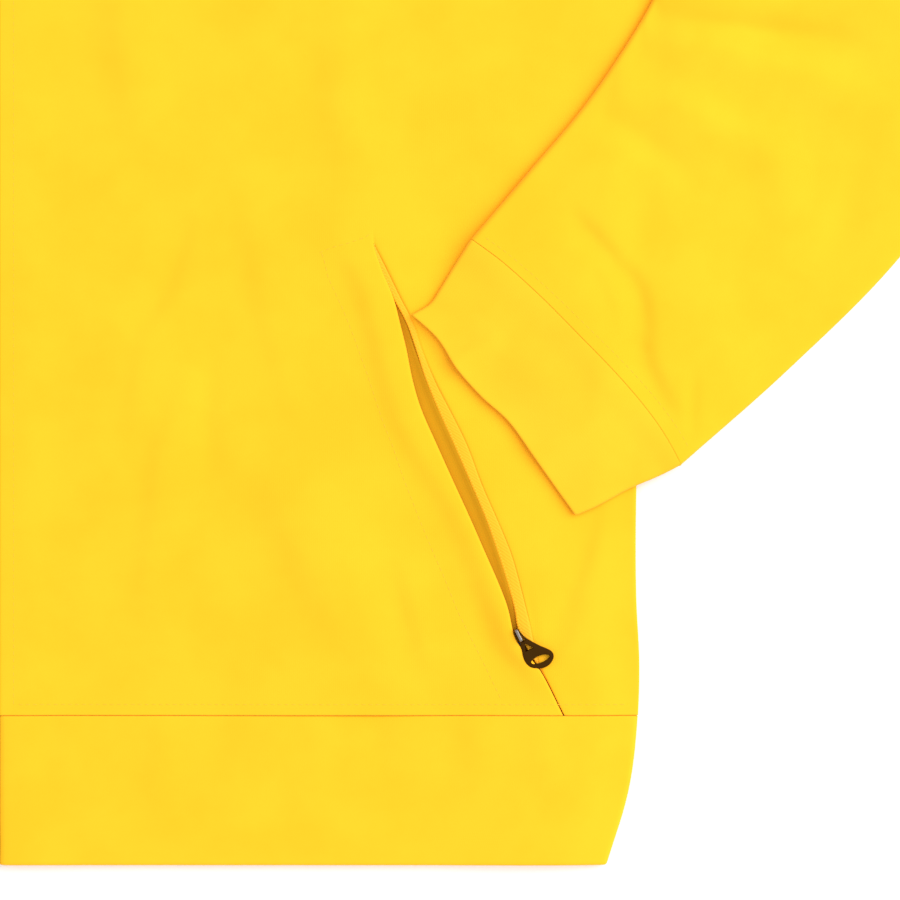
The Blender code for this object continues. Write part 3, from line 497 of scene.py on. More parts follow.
def open_share(y):
    """How far the pocket's mouth stands open: 0 at its ends, 1 along its middle."""
    return between(y, *MOUTH_OPEN)


def lip_rise(x, y):
    """How far the facing and the folded edge lift the cloth beside the pocket's mouth."""
    low_part = ease((LIP_LOW[0] - y) / LIP_LOW[1])
    start, full = (far - closer * low_part for far, closer in (LIP_FROM, LIP_FULL))
    height = LIP_RISE * (LIP_HIGH_SHARE + (1 - LIP_HIGH_SHARE) * low_part) * between(y, *LIP_ENDS)
    return height * ease((start - slit_edge(y, 1) + x) / (start - full))


def lip_shape(x, y):
    """The pocket's rolled lip towards the centre and its flat fold towards the side."""
    lip, fold = slit_edge(y, 1), slit_edge(y, 3)
    inward, outward = lip - x, x - fold
    roll = LIP_ROLL * (LIP_SHUT_SHARE + (1 - LIP_SHUT_SHARE) * open_share(y))
    roll = roll * (1 - np.clip(inward / LIP_WIDTH, 0, 1)) ** 2
    beyond_top = ease((y - POCKET_TOP) / SLIT_END)
    fold_drop = FOLD_DROP * (1 - np.clip(outward / FOLD_WIDTH, 0, 1)) ** 2 * (1 - beyond_top)
    centre_part = x < (lip + fold) / 2
    return np.where(centre_part, lip_rise(x, y) - roll * (1 - beyond_top), -fold_drop)


def hang(x, y):
    """The slight unevenness of cloth that has been smoothed out by hand."""
    return HANG * sum(strong * np.sin(by_x * x + by_y * y + start) for strong, by_x, by_y, start in HANG_WAVES)


def level_row(start, end, shares, y):
    """Plan points of one row, by share of the way from start to end."""
    return np.stack([start + (end - start) * shares, y + 0 * shares], -1)


def front_plan():
    """A front's two parts, slit apart along the pocket and joined above it."""
    centre, beside = [], []
    split = curve_at(POCKET, POCKET_TOP, 1)
    edges = [(y, slit_edge(y, 1), slit_edge(y, 3)) for y in SLIT_ROWS] + [(y, split, split) for y in ROWS_ABOVE]
    for y, lip, fold in edges:
        centre.append(level_row(FRONT_EDGE, lip, CENTRE_SHARES, y))
        beside.append(level_row(fold, outline_x(y), SIDE_SHARES, y))
    columns = len(CENTRE_SHARES)
    low = np.concatenate([centre[-1], beside[-1][1:]])
    centre_top, side_top = top_edge(FRONT_EDGE, FRONT_NECK_Y)
    for row in upper_rows(low, np.concatenate([centre_top, side_top[1:]])):
        centre.append(row[:columns])
        beside.append(row[columns - 1:])
    return flat_patch(centre), flat_patch(beside)


def front_height(table):
    def height(x, y, lift):
        fade = ease((x - FRONT_EDGE) / CENTRE_CALM)
        return front_rest(x, y) + lip_shape(x, y) + fade * (creases(x, y, table) + hang(x, y))
    return height


fronts = {}
for word, side, table in (("left", 1, LEFT_CREASES), ("right", -1, RIGHT_CREASES)):
    front = cloth_mesh(f"front_{word}_jersey", front_plan(), CLOTH, side)
    drape(front, front_height(table), side)
    dress(front, jersey)
    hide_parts(f"front_{word}")
    fronts[word] = front


# Pocket zips
# Each pocket has a thin knitted bag and a nylon coil zip on woven tape, dyed to match. It stands open as shown,
# its slider near the lower end. The slider is zinc alloy; its long pull is moulded in brown plastic.

STRIP_FOOT = (0.0612, 0.066)  # lowest rows of bag and tapes, just above the hem band
BAG_CLOTH = 0.0010
BAG_BULGE = 0.0025  # the bag rises this much behind the open mouth
BAG_SHUT_SHARE = 0.75  # and this share of it at the mouth's ends
BULGE_UNDER_LIP = 0.0060  # it starts to rise this far under the lip
BULGE_PAST_FOLD = 0.0005  # and is down again this far past the fold
BULGE_SOFT = 0.0035  # over this
COIL_RIDGE = 0.0008  # along the open coil it is lifted this much more
COIL_RIDGE_WIDTH = 0.0018
POCKET_FACING = 0.019  # the bag reaches this far under the centre part
BAG_SIDE = 0.016  # and this far under the side part
TAPE = 0.0010
LAYER_GAP = 0.0004
TAPE_WIDTH = 0.011
SIDE_TAPE_UNDER = TAPE_WIDTH - 0.003  # beyond the fold
TAPE_RISE = 0.0021  # the open tape stands this much higher than under the fold
TAPE_RISE_FROM = 0.0024  # starting this far under the fold
TAPE_RISE_OVER = 0.0030
COIL_DROP = 0.0003  # the tape turns down this much at its coil
COIL_DROP_FROM = 0.0025
COIL_DROP_OVER = 0.0030
HIDDEN_OUT = 0.0003  # the centre tape's edge comes this far out of the shut lip
HIDDEN_CLEAR = 0.0010  # keeps this far from the other coil
HIDDEN_IN = 0.0055  # and is drawn in this much along the open mouth
HIDDEN_BEND = 1.5  # coming back gently at the mouth's ends
COIL_PITCH = 0.00115
COIL_LOOP = (0.0017, 0.0008, 0.0009)  # long, wide, high
COIL_OUT = 0.0007  # middle of a loop from the tape's edge
COIL_SINK = 0.0003  # and below the tape's top
COIL_LEAN = (0.92, 0.38, 0.0)
SLIDER_EDGE = 0.00022  # rounding of the cast edges
SHARP = math.radians(25)  # edges that turn more than this are rounded
TAPE_RIB = 1.8  # mm along the tape; real ribs are 0.9 mm apart, too fine to show, so they are drawn twice as coarse
MOULD_GRAIN = 1 / 900  # m; real grain is under 0.1 mm, too fine to show, so it is drawn at 1.1 mm


def softened(node, name, edge):
    """A cast or moulded piece: its CAD form with the sharp edges rounded."""
    mesh = frame["nodes"][node].data.copy()
    work = bmesh.new()
    work.from_mesh(mesh)
    bmesh.ops.remove_doubles(work, verts=work.verts, dist=MERGE)
    bmesh.ops.dissolve_limit(work, angle_limit=math.radians(1), verts=work.verts, edges=work.edges)
    work.to_mesh(mesh)
    work.free()
    piece = add_piece(name, mesh)
    rounding = piece.modifiers.new("edges", "BEVEL")
    rounding.width = edge
    rounding.segments = 3
    rounding.limit_method = "ANGLE"
    rounding.angle_limit = SHARP
    bpy.ops.object.modifier_apply(modifier="edges")
    mesh.shade_smooth()
    return piece


def bars(name, centres, directions, long, wide, high, taper=0.2, sides=6):
    """Many small rounded bars in one mesh, each along its direction: stitches, coil loops or teeth."""
    centres, forward = np.asarray(centres, float), np.asarray(directions, float)
    forward = forward / np.linalg.norm(forward, axis=1, keepdims=True)
    across = np.cross((0, 0, 1), forward)
    across /= np.linalg.norm(across, axis=1, keepdims=True)
    up = np.cross(forward, across)
    angles = np.arange(sides) * 2 * math.pi / sides
    local = [(-0.5, 0, 0)]
    for place in (-0.5 + taper, 0.5 - taper):
        local += [(place, math.cos(a) / 2, math.sin(a) / 2) for a in angles]
    local = np.array(local + [(0.5, 0, 0)]) * (long, wide, high)
    points = centres[:, None] + sum(
        local[:, k, None] * axis[:, None] for k, axis in enumerate((forward, across, up))
    )
    last = 2 * sides + 1
    faces = []
    for k in range(sides):
        a, b = 1 + k, 1 + (k + 1) % sides
        faces += [(0, b, a), (a, b, b + sides, a + sides), (last, a + sides, b + sides)]
    every = [tuple(c + n * len(local) for c in face) for n in range(len(centres)) for face in faces]
    mesh = bpy.data.meshes.new(name)
    mesh.from_pydata(points.reshape(-1, 3) - (0, HALF_LENGTH, 0), [], every)
    mesh.shade_smooth()
    return add_piece(name, mesh)


def run_length(row):
    """How far along a row of points each one is."""
    return np.concatenate([[0], np.cumsum(np.linalg.norm(np.diff(row, axis=0), axis=1))])


def walk(path, pitch):
    """Evenly spaced places along a path of points, and the way it runs there."""
    path = np.asarray(path, float)
    lengths = run_length(path)
    at = np.arange(pitch / 2, lengths[-1], pitch)
    places, ahead, behind = (
        np.stack([np.interp(at + shift, lengths, column) for column in path.T], -1)
        for shift in (0, pitch / 2, -pitch / 2)
    )
    return places, ahead - behind


def woven_tape(name, face, painted_rib_shade):
    """Polyester zip tape, woven in a fine twill: a little glossier than the jersey, with slanting ribs; the second
    colour is painted shade on the side of each rib turned from the light.
    """
    made, shader = new_finish(name, Roughness=0.66, Specular_IOR_Level=0.25, Sheen_Weight=0.03)
    cut = add_node(made, "ShaderNodeUVMap", uv_map="cut")
    mm = add_node(made, "ShaderNodeVectorMath", {"Scale": 1000}, {0: cut.outputs["UV"]}, operation="SCALE")
    period = 0.628  # mm along the tape, of Blender's diagonal wave at scale 1
    ribs = add_node(
        made, "ShaderNodeTexWave", {"Scale": period / TAPE_RIB, "Distortion": 1.5, "Detail": 2.0},
        {"Vector": mm.outputs[0]}, bands_direction="DIAGONAL",
    )
    # Painted shade: the ribs' low sides take the deeper colour, as if turned from the light
    tones = add_node(made, "ShaderNodeValToRGB", links={"Fac": ribs.outputs["Fac"]})
    tones.color_ramp.elements[0].color = linear(painted_rib_shade)
    tones.color_ramp.elements[1].color = linear(face)
    made.node_tree.links.new(tones.outputs["Color"], shader.inputs["Base Color"])
    relief = add_node(
        made, "ShaderNodeBump", {"Strength": 0.5, "Distance": 0.0001}, {"Height": ribs.outputs["Fac"]}
    )
    made.node_tree.links.new(relief.outputs["Normal"], shader.inputs["Normal"])
    return made


def moulded(name, colour, roughness, mottle, **values):
    """A moulded polymer or cast metal: even colour, a soft gloss and the faint unevenness of the mould."""
    made, shader = new_finish(name, Roughness=roughness, Base_Color=linear(colour), **values)
    place = add_node(made, "ShaderNodeTexCoord")
    grain = add_node(
        made, "ShaderNodeTexNoise", {"Scale": 1 / MOULD_GRAIN, "Detail": 2.0}, {"Vector": place.outputs["Object"]}
    )
    relief = add_node(
        made, "ShaderNodeBump", {"Strength": mottle, "Distance": 0.00005}, {"Height": grain.outputs["Fac"]}
    )
    made.node_tree.links.new(relief.outputs["Normal"], shader.inputs["Normal"])
    return made


# Twill tape dyed to match the jersey; its second, deeper colour is painted shade on the ribs' sides turned from the
# light
tape_twill = woven_tape("twill_zip_tape", "#F8B218", "#F3AB13")
# Nylon monofilament, dyed with its tape and heat-set as a coil: even colour and a small soft shine on each loop
coil_nylon = moulded("coil_nylon", "#F6AE18", 0.50, 0.1, Specular_IOR_Level=0.3)
# Thin polyester warp knit, matt; its colour is deepened well past the jersey's as painted shade for the dark inside
# of the pocket's mouth
pocket_knit_painted_shade = bonded_jersey("pocket_knit_painted_shade", "#C58C00", "#C08800", wale=1.0)
# Plastic coloured right through and moulded in a grained mould: dark brown with a dull, broad shine
pull_plastic = moulded("moulded_brown_plastic", "#3A2202", 0.46, 0.35, Specular_IOR_Level=0.03)
# Zinc alloy, die-cast, tumbled and plated: grey metal with a soft, slightly uneven mirror
slider_metal = moulded("plated_zinc", "#8C857C", 0.30, 0.3, Metallic=1.0)


def tape_rest(x, y):
    return front_rest(x, y) - CLOTH - LAYER_GAP


def front_tape_height(x, y, lift):
    return tape_rest(x, y) + lip_rise(x, y)


def side_tape_height(x, y, lift):
    """The tape comes out from under the fold nearly as high as the cloth, and turns down at its coil."""
    out = slit_edge(y, 3) - x
    rise = TAPE_RISE * ease((out + TAPE_RISE_FROM) / TAPE_RISE_OVER)
    return tape_rest(x, y) + rise - COIL_DROP * ease((out - COIL_DROP_FROM) / COIL_DROP_OVER)


def bag_height(x, y, lift):
    """The bag bulges up a little behind the open mouth."""
    lip, fold = slit_edge(y, 1), slit_edge(y, 3)
    bulge = between(x, lip - BULGE_UNDER_LIP, BULGE_UNDER_LIP, fold + BULGE_PAST_FOLD, BULGE_SOFT)
    reach = (BAG_SHUT_SHARE + (1 - BAG_SHUT_SHARE) * open_share(y)) * between(y, *BAG_ENDS)
    at_coil = COIL_RIDGE * np.exp(-(((x - curve_at(POCKET, y, 2)) / COIL_RIDGE_WIDTH) ** 2))
    return CLOTH + SEAM + BAG_CLOTH + (BAG_BULGE * bulge + at_coil) * reach


def strip(low_side, high_side, across=9):
    """A ribbon between two edges given row by row, laid flat, with its cut straightened."""
    low_side, high_side = np.asarray(low_side), np.asarray(high_side)
    shares = np.linspace(0, 1, across)[None, :, None]
    plan = low_side[:, None] * (1 - shares) + high_side[:, None] * shares
    length = run_length(plan[:, 0])
    width = np.linalg.norm(high_side - low_side, axis=1)
    cut = np.stack([width[:, None] * shares[..., 0], length[:, None] + 0 * shares[..., 0]], -1)
    return np.dstack([plan, np.zeros(plan.shape[:2]), np.ones(plan.shape[:2])]), cut


# The pull in its own frame, in mm: from the crossbar along it, and across it towards the side seam
PULL_OUTLINE = (
    (-0.75, -1.2), (3.4, -1.25), (5.6, -2.5), (8.8, -4.3), (11.6, -4.8), (14.0, -4.3), (16.0, -2.5), (17.4, 0.2),
    (17.6, 3.0), (16.4, 5.6), (14.7, 6.5), (12.8, 6.1), (9.4, 4.1), (6.2, 2.7), (3.0, 1.35), (-0.75, 1.2),
)
BRIDGE_WINDOW = ((0.65, -0.72), (3.7, -0.72), (3.7, 0.72), (0.65, 0.72))
SMALL_WINDOW = ((4.6, -0.2), (7.5, -2.0), (8.2, 1.4))
FINGER_SLOT = (13.6, 0.9, 3.9, 1.45, 72)  # centre along and across, half long, half wide, turn in degrees
SLOT_STEPS = 28
PULL_THICK = 0.0015
PULL_EDGE = 0.00025


def rounded(points, steps=5):
    """A bowed run that starts and ends at a list's end points and is drawn towards the ones between."""
    points = np.array(points)
    run = [points[:1]]
    for before, point, after in zip(points, points[1:], points[2:]):
        t = np.linspace(0, 1, steps, endpoint=False)[:, None]
        start, end = (before + point) / 2, (point + after) / 2
        run.append((1 - t) ** 2 * start + 2 * t * (1 - t) * point + t**2 * end)
    return np.concatenate(run + [[end], points[-1:]])


def moulded_pull(name, hinge, aim, tilt, side):
    """A pull moulded in one piece: its outline with two windows and the finger slot, every edge rounded."""
    along_slot, across_slot, half_long, half_wide, turn = FINGER_SLOT
    turn = math.radians(turn)
    slot = []
    for angle in np.arange(SLOT_STEPS) * 2 * math.pi / SLOT_STEPS:
        u, v = half_long * math.cos(angle), half_wide * math.sin(angle)
        slot.append((
            along_slot + u * math.cos(turn) - v * math.sin(turn),
            across_slot + u * math.sin(turn) + v * math.cos(turn),
        ))
    flat = bpy.data.curves.new(name, "CURVE")
    flat.dimensions = "2D"
    flat.fill_mode = "BOTH"
    flat.extrude = PULL_THICK / 2 - PULL_EDGE
    flat.bevel_depth = PULL_EDGE
    flat.bevel_resolution = 3
    flat.offset = -PULL_EDGE
    for loop in (rounded(PULL_OUTLINE), BRIDGE_WINDOW, SMALL_WINDOW, slot):
        spline = flat.splines.new("POLY")
        spline.points.add(len(loop) - 1)
        for point, (x, y) in zip(spline.points, loop):
            point.co = (x / 1000, side * y / 1000, 0, 1)
        spline.use_cyclic_u = True
    holder = add_piece(name + "_curve", flat)
    graph = bpy.context.evaluated_depsgraph_get()
    mesh = bpy.data.meshes.new_from_object(holder.evaluated_get(graph))
    bpy.data.objects.remove(holder)
    work = bmesh.new()
    work.from_mesh(mesh)
    bmesh.ops.remove_doubles(work, verts=work.verts, dist=MERGE)
    bmesh.ops.recalc_face_normals(work, faces=work.faces)
    work.to_mesh(mesh)
    work.free()
    mesh.transform(Matrix.Translation(hinge) @ Matrix.Rotation(aim, 4, "Z") @ Matrix.Rotation(tilt, 4, "Y"))
    mesh.shade_smooth()
    pull = add_piece(name, mesh)
    pull.select_set(True)
    bpy.ops.object.shade_smooth_by_angle(angle=math.radians(40))
    pull.select_set(False)
    return pull


def joint_place(name):
    return Vector(next(j for j in frame["joints"] if j["name"] == name)["pos_m"])


def strip_rows(below_top, count):
    """Heights of the rows of a bag or tape, the last this far below the pocket's top."""
    return np.concatenate([STRIP_FOOT[:1], np.linspace(STRIP_FOOT[1], POCKET_TOP - below_top, count)])


def column(x, y):
    """Plan points of an edge that runs up the garment."""
    return np.stack([x + 0 * y, y], -1)


PULL_AIM = math.radians(-52)
PULL_TILT = math.radians(6)
for word, side in (("left", 1), ("right", -1)):
    y = strip_rows(below_top=0.0005, count=64)
    lip, coil, fold = (curve_at(POCKET, y, k) for k in (1, 2, 3))
    hidden = np.minimum(lip + HIDDEN_OUT, coil - HIDDEN_CLEAR) - HIDDEN_IN * open_share(y) ** HIDDEN_BEND
    side_strip = strip(column(coil, y), column(fold + SIDE_TAPE_UNDER, y), across=17)
    front_strip = strip(column(hidden - TAPE_WIDTH, y), column(hidden, y))
    tapes = (("side", side_strip, side_tape_height), ("front", front_strip, front_tape_height))
    for part, patch, height in tapes:
        tape = cloth_mesh(f"pocket_{word}_tape_{part}_woven", [patch], TAPE, side)
        drape(tape, height, side)
        dress(tape, tape_twill)
        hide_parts(f"pocket_{word}_tape_{part}")
    loops = []
    for edge, out, height in ((coil, COIL_OUT, side_tape_height), (hidden, -COIL_OUT, front_tape_height)):
        places = walk(column(edge + out, y), COIL_PITCH)[0]
        loops.append(np.column_stack([places, height(places[:, 0], places[:, 1], 1) - COIL_SINK]))
    loops = np.concatenate(loops) * (side, 1, 1)
    lean = np.tile(COIL_LEAN, (len(loops), 1)) * (side, 1, 1)
    coils = bars(f"pocket_{word}_coil", loops, lean, *COIL_LOOP)
    dress(coils, coil_nylon)
    bag_y = strip_rows(below_top=0.002, count=50)
    bag_low = column(curve_at(POCKET, bag_y, 1) - POCKET_FACING, bag_y)
    bag_high = column(curve_at(POCKET, bag_y, 3) + BAG_SIDE, bag_y)
    bag = cloth_mesh(f"pocket_{word}_bag_knit", [strip(bag_low, bag_high, across=29)], BAG_CLOTH, side)
    drape(bag, bag_height, side)
    # The bag's deep orange is painted shade for the inside of the open pocket
    dress(bag, pocket_knit_painted_shade)
    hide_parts(f"pocket_{word}_bag")
    slider = softened(f"pocket_{word}_slider", f"pocket_{word}_slider_cast", SLIDER_EDGE)
    dress(slider, slider_metal)
    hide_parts(f"pocket_{word}_slider")
    aim = PULL_AIM if side > 0 else math.pi - PULL_AIM
    hinge = joint_place(f"{word}_pocket_pull_swing")
    pull = moulded_pull(f"pocket_{word}_pull_moulded", hinge, aim, PULL_TILT, side)
    dress(pull, pull_plastic, f"{word}_pocket_pull")
    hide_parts(f"pocket_{word}_pull")


# Hem band
# A doubled band of the same jersey round the hem, open at the centre front and folded at the sides; its lower
# edge is the cloth's fold.

BAND_SHARES = np.concatenate([np.linspace(0, 0.08, 5), np.linspace(0.11, 0.90, 36), np.linspace(0.92, 0.985, 5)])
BAND_ROWS = np.concatenate([[0, 0.0012], np.linspace(0.005, 0.055, 11), [0.0580, 0.0595, HEM_BAND]])
BAND_CALM = 0.02  # creases fade towards the front zip over this
TURN_ANGLES = np.linspace(90, -90, 9)
HEM_CREASES = (
    (30, 62, 32, 50, 28, 30, 5, 6, 0.30),
    (66, 62, 70, 46, 66, 18, 6, 8, 0.45),
    (96, 61, 92, 50, 96, 34, 5, 5, -0.30),
    (128, 62, 132, 44, 126, 14, 7, 8, 0.40),
    (158, 61, 156, 50, 162, 36, 5, 5, -0.30),
    (190, 62, 196, 48, 190, 20, 6, 8, 0.45),
    (224, 60, 222, 46, 228, 26, 5, 6, 0.35),
    (20, 16, 120, 12, 236, 18, 6, 6, 0.35),
)


def turned(radius, wall):
    """A turned edge from top to bottom: inset outside, inset inside, height from 1 to -1."""
    angles = np.radians(TURN_ANGLES)
    return radius * (1 - np.cos(angles)), wall + (radius - wall) * (1 - np.cos(angles)), np.sin(angles)


def folded(outer, inner, cut, closed=False):
    """The outside, the inside and the rims of cloth that turns back on itself."""
    patches = [(outer, cut), (inner, cut)]
    patches += [(np.stack([outer[k], inner[k]]), np.stack([cut[k], cut[k]])) for k in (0, -1)]
    if not closed:
        for k in (0, -1):
            patches.append((np.stack([outer[:, k], inner[:, k]], 1), np.stack([cut[:, k], cut[:, k]], 1)))
    return patches


def mirrored_run(row):
    """A run from the wearer's left to the centre back, carried on to the right."""
    return np.concatenate([row, row[-2::-1] * (-1, 1, 1, 1)])


def turned_run(shares):
    """A run over the front, round the turned edge and back: insets outside and inside, height from 1 to -1."""
    outside, inside, high = turned(EDGE_HEIGHT / 2, CLOTH)
    flat = 0 * shares
    runs = ((flat, outside, flat), (flat, inside, flat), (1 + flat, high, -1 - flat))
    return tuple(np.concatenate(run) for run in runs)


def two_faces(rows, run):
    """Outside and inside of a flattened loop of cloth, from the plan points and thickness of each row."""
    *insets, high = run
    faces = []
    for inset, wall in zip(insets, (0, CLOTH)):
        faces.append(np.array([
            mirrored_run(np.stack([
                place[:, 0] - inset, place[:, 1], thick / 2 + high * (thick / 2 - wall), (high + 1) / 2,
            ], -1))
            for place, thick in rows
        ]))
    return faces


band_run = turned_run(BAND_SHARES)
band_share = np.concatenate([BAND_SHARES, np.ones(len(TURN_ANGLES)), BAND_SHARES[::-1]])
band_rows = []
for y in BAND_ROWS:
    edge = curve_at(SIDE, y, 1)
    start = FRONT_EDGE * ((band_run[-1] == 1) & (band_share < 1))
    place = level_row(start, edge, band_share, y)
    over_seam = np.minimum(place[:, 0], edge) * curve_at(SIDE, HEM_BAND, 1) / edge
    band_rows.append((place, front_rest(over_seam, np.full(len(place), HEM_BAND))))
band_outer, band_inner = two_faces(band_rows, band_run)
band_length = np.tile(run_length(band_outer[-1, :, :3]), (len(band_outer), 1))
band_cut = np.stack([band_length, band_outer[:, :, 1]], -1)
hem_band = cloth_mesh("hem_band_jersey", folded(band_outer, band_inner, band_cut))
drape(hem_band, lambda x, y, lift: (
    lift * ease((np.abs(x) - FRONT_EDGE) / BAND_CALM) * (creases(np.abs(x), y, HEM_CREASES) + hang(x, y))
))
dress(hem_band, jersey)
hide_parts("hem_band")


# Front zip
# A separating zip from hem to collar: moulded teeth on woven tape, both dyed to match the jersey. Its slider stands
# at the top, under the collar's edge, with the same brown moulded pull as the pockets, and its box is at the hem.

COLLAR_FRONT_Y = 0.686
ZIP_END = 0.003  # the tapes end this far inside the hem and the collar's top
ZIP_TAPE_EDGES = (0.0008, 0.0150)
ZIP_TAPE_TOP = 0.0042
ZIP_SLIDER_Y = 0.668
ZIP_SLIDER_EDGE = 0.0003  # rounding of its cast edges
BOX_EDGE = 0.0004
TEETH_FOOT = 0.0145  # just above the box
TEETH_UNDER_SLIDER = 0.0082  # and up to this far below the slider's middle
TOOTH_PITCH = 0.0027
TOOTH = (0.0038, 0.00125, 0.0018)  # long, wide, high
TOOTH_X = 0.00115
CHAIN_MIDDLE = 0.0054

# Acetal, coloured to match the tape and moulded on to it: even colour and a satin shine on each tooth
tooth_plastic = moulded("acetal_teeth", "#D69E12", 0.38, 0.2)
for word, side in (("left", 1), ("right", -1)):
    y = np.linspace(ZIP_END, COLLAR_FRONT_Y - ZIP_END, 140)
    patch = strip(*(column(x, y) for x in ZIP_TAPE_EDGES), across=6)
    tape = cloth_mesh(f"zip_tape_{word}_woven", [patch], TAPE, side)
    drape(tape, lambda x, y, lift: ZIP_TAPE_TOP + 0 * x, side)
    dress(tape, tape_twill)
    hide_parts(f"zip_tape_{word}")
tooth_y = np.arange(TEETH_FOOT, ZIP_SLIDER_Y - TEETH_UNDER_SLIDER, TOOTH_PITCH / 2)
tooth_side = np.where(np.arange(len(tooth_y)) % 2 == 0, 1.0, -1.0)
tooth_places = np.stack([tooth_side * TOOTH_X, tooth_y, CHAIN_MIDDLE + 0 * tooth_y], -1)
tooth_ways = np.stack([tooth_side, 0 * tooth_y, 0 * tooth_y], -1)
teeth = bars("zip_teeth", tooth_places, tooth_ways, *TOOTH, taper=0.16, sides=8)
dress(teeth, tooth_plastic)
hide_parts("zip_chain")
box = softened("zip_box", "zip_box_moulded", BOX_EDGE)
dress(box, pull_plastic)
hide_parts("zip_box")
zip_slider = softened("zip_slider", "zip_slider_cast", ZIP_SLIDER_EDGE)
dress(zip_slider, slider_metal)
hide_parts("zip_slider")
zip_hinge = joint_place("front_zip_pull_swing")
zip_pull = moulded_pull("zip_pull_moulded", zip_hinge, aim=-math.pi / 2, tilt=0.0, side=1)
dress(zip_pull, pull_plastic, "front_zip_pull")
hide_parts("zip_pull")


# Collar
# A stand collar of the same jersey, cut as one strip. It lies folded at the sides of the neck, open at the
# centre front, where the zip runs up it.

COLLAR_SIDE = (0.077, 0.755)
COLLAR_BACK_Y = 0.741
COLLAR_HEIGHT = 0.058  # of its cut
COLLAR_SHARES = np.concatenate([[0, 0.012], np.linspace(0.045, 0.955, 20)])
COLLAR_RISES = np.concatenate([[0, 0.02], np.linspace(0.09, 0.91, 11), [0.98, 1]])
COLLAR_CREASES = (
    (20, 640, 24, 660, 22, 684, 5, 7, 0.40),
    (48, 652, 46, 676, 52, 700, 7, 6, -0.50),
    (66, 672, 62, 700, 68, 730, 6, 7, 0.55),
    (76, 690, 74, 716, 74, 742, 4, 5, -0.40),
)


def collar_edge(front_y, back_y, end):
    """One long edge of the collar in plan, from the centre front round the side of the neck to the centre back."""
    front = neck_arc(FRONT_EDGE, front_y, end, COLLAR_SHARES)[0]
    back = neck_arc(0.0, back_y, end, COLLAR_SHARES[::-1])[0]
    return np.concatenate([front, np.tile(end, (len(TURN_ANGLES), 1)), back])


collar_low = collar_edge(FRONT_NECK_Y, BACK_NECK_Y, NECK_POINT)
collar_high = collar_edge(COLLAR_FRONT_Y, COLLAR_BACK_Y, COLLAR_SIDE)
low_y = np.minimum(collar_low[:, 1], shoulder_y(collar_low[:, 0]))
collar_thick = front_rest(collar_low[:, 0], low_y)
collar_rows = [(collar_low + (collar_high - collar_low) * rise, collar_thick) for rise in COLLAR_RISES]
collar_outer, collar_inner = two_faces(collar_rows, turned_run(COLLAR_SHARES))
collar_middle = collar_outer[len(COLLAR_RISES) // 2, :, :3]
collar_cut = np.stack(
    np.meshgrid(run_length(collar_middle), np.linspace(0, COLLAR_HEIGHT, len(COLLAR_RISES))), -1
)
collar = cloth_mesh("collar_jersey", folded(collar_outer, collar_inner, collar_cut))
drape(collar, lambda x, y, lift: lift * (creases(np.abs(x), y, COLLAR_CREASES) + hang(x, y)))
dress(collar, jersey)
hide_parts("collar")


# Sleeves
# Each sleeve is one piece of jersey sewn to a tube. It lies flat beside the body, turns in at the elbow, where
# it creases in a fan, and its forearm lies over the side of the front.

# Armhole to cuff seam: inner edge x y, outer edge x y, rise of its middle
SLEEVE = np.array([
    (0, 0.2801, 0.4301, 0.2350, 0.6550, 0.0008),
    (1, 0.2822, 0.4140, 0.2930, 0.6180, 0.0018),
    (2, 0.2815, 0.3990, 0.3400, 0.5660, 0.0022),
    (3, 0.2790, 0.3840, 0.3830, 0.5000, 0.0024),
    (4, 0.2748, 0.3680, 0.4130, 0.4300, 0.0024),
    (5, 0.2680, 0.3500, 0.4240, 0.3650, 0.0024),
    (6, 0.2560, 0.3290, 0.4060, 0.3000, 0.0024),
    (7, 0.2380, 0.3030, 0.3660, 0.2440, 0.0024),
    (8, 0.2160, 0.2770, 0.3216, 0.1992, 0.0024),
    (9, 0.1936, 0.2508, 0.2776, 0.1603, 0.0018),
])
last_row = len(SLEEVE) - 1
SLEEVE_ROWS = np.concatenate([
    [0, 0.01, 0.03], np.linspace(0.09, last_row - 0.09, 106), [last_row - 0.03, last_row - 0.005, last_row],
])
SLEEVE_TURN = 0.0022  # radius of its long edges, where the tube turns under
SLEEVE_CROWN = 0.6  # how full its rise is: lower is fuller
OVERLAY_GAP = 0.0002  # over the front
OVERLAY_HANG = 1.5  # times the unevenness of the body
RAMP = 0.065  # the forearm comes down from the body to the floor over this
RAMP_START = 0.001  # from the side seam
ARM_RAMP = 0.004  # the upper arm comes down over this
ARM_RAMP_Y = (0.345, 0.405)  # where one way down turns into the other
ARM_END = (0.418, 0.010)  # at this height and over this, the sleeve leaves the body
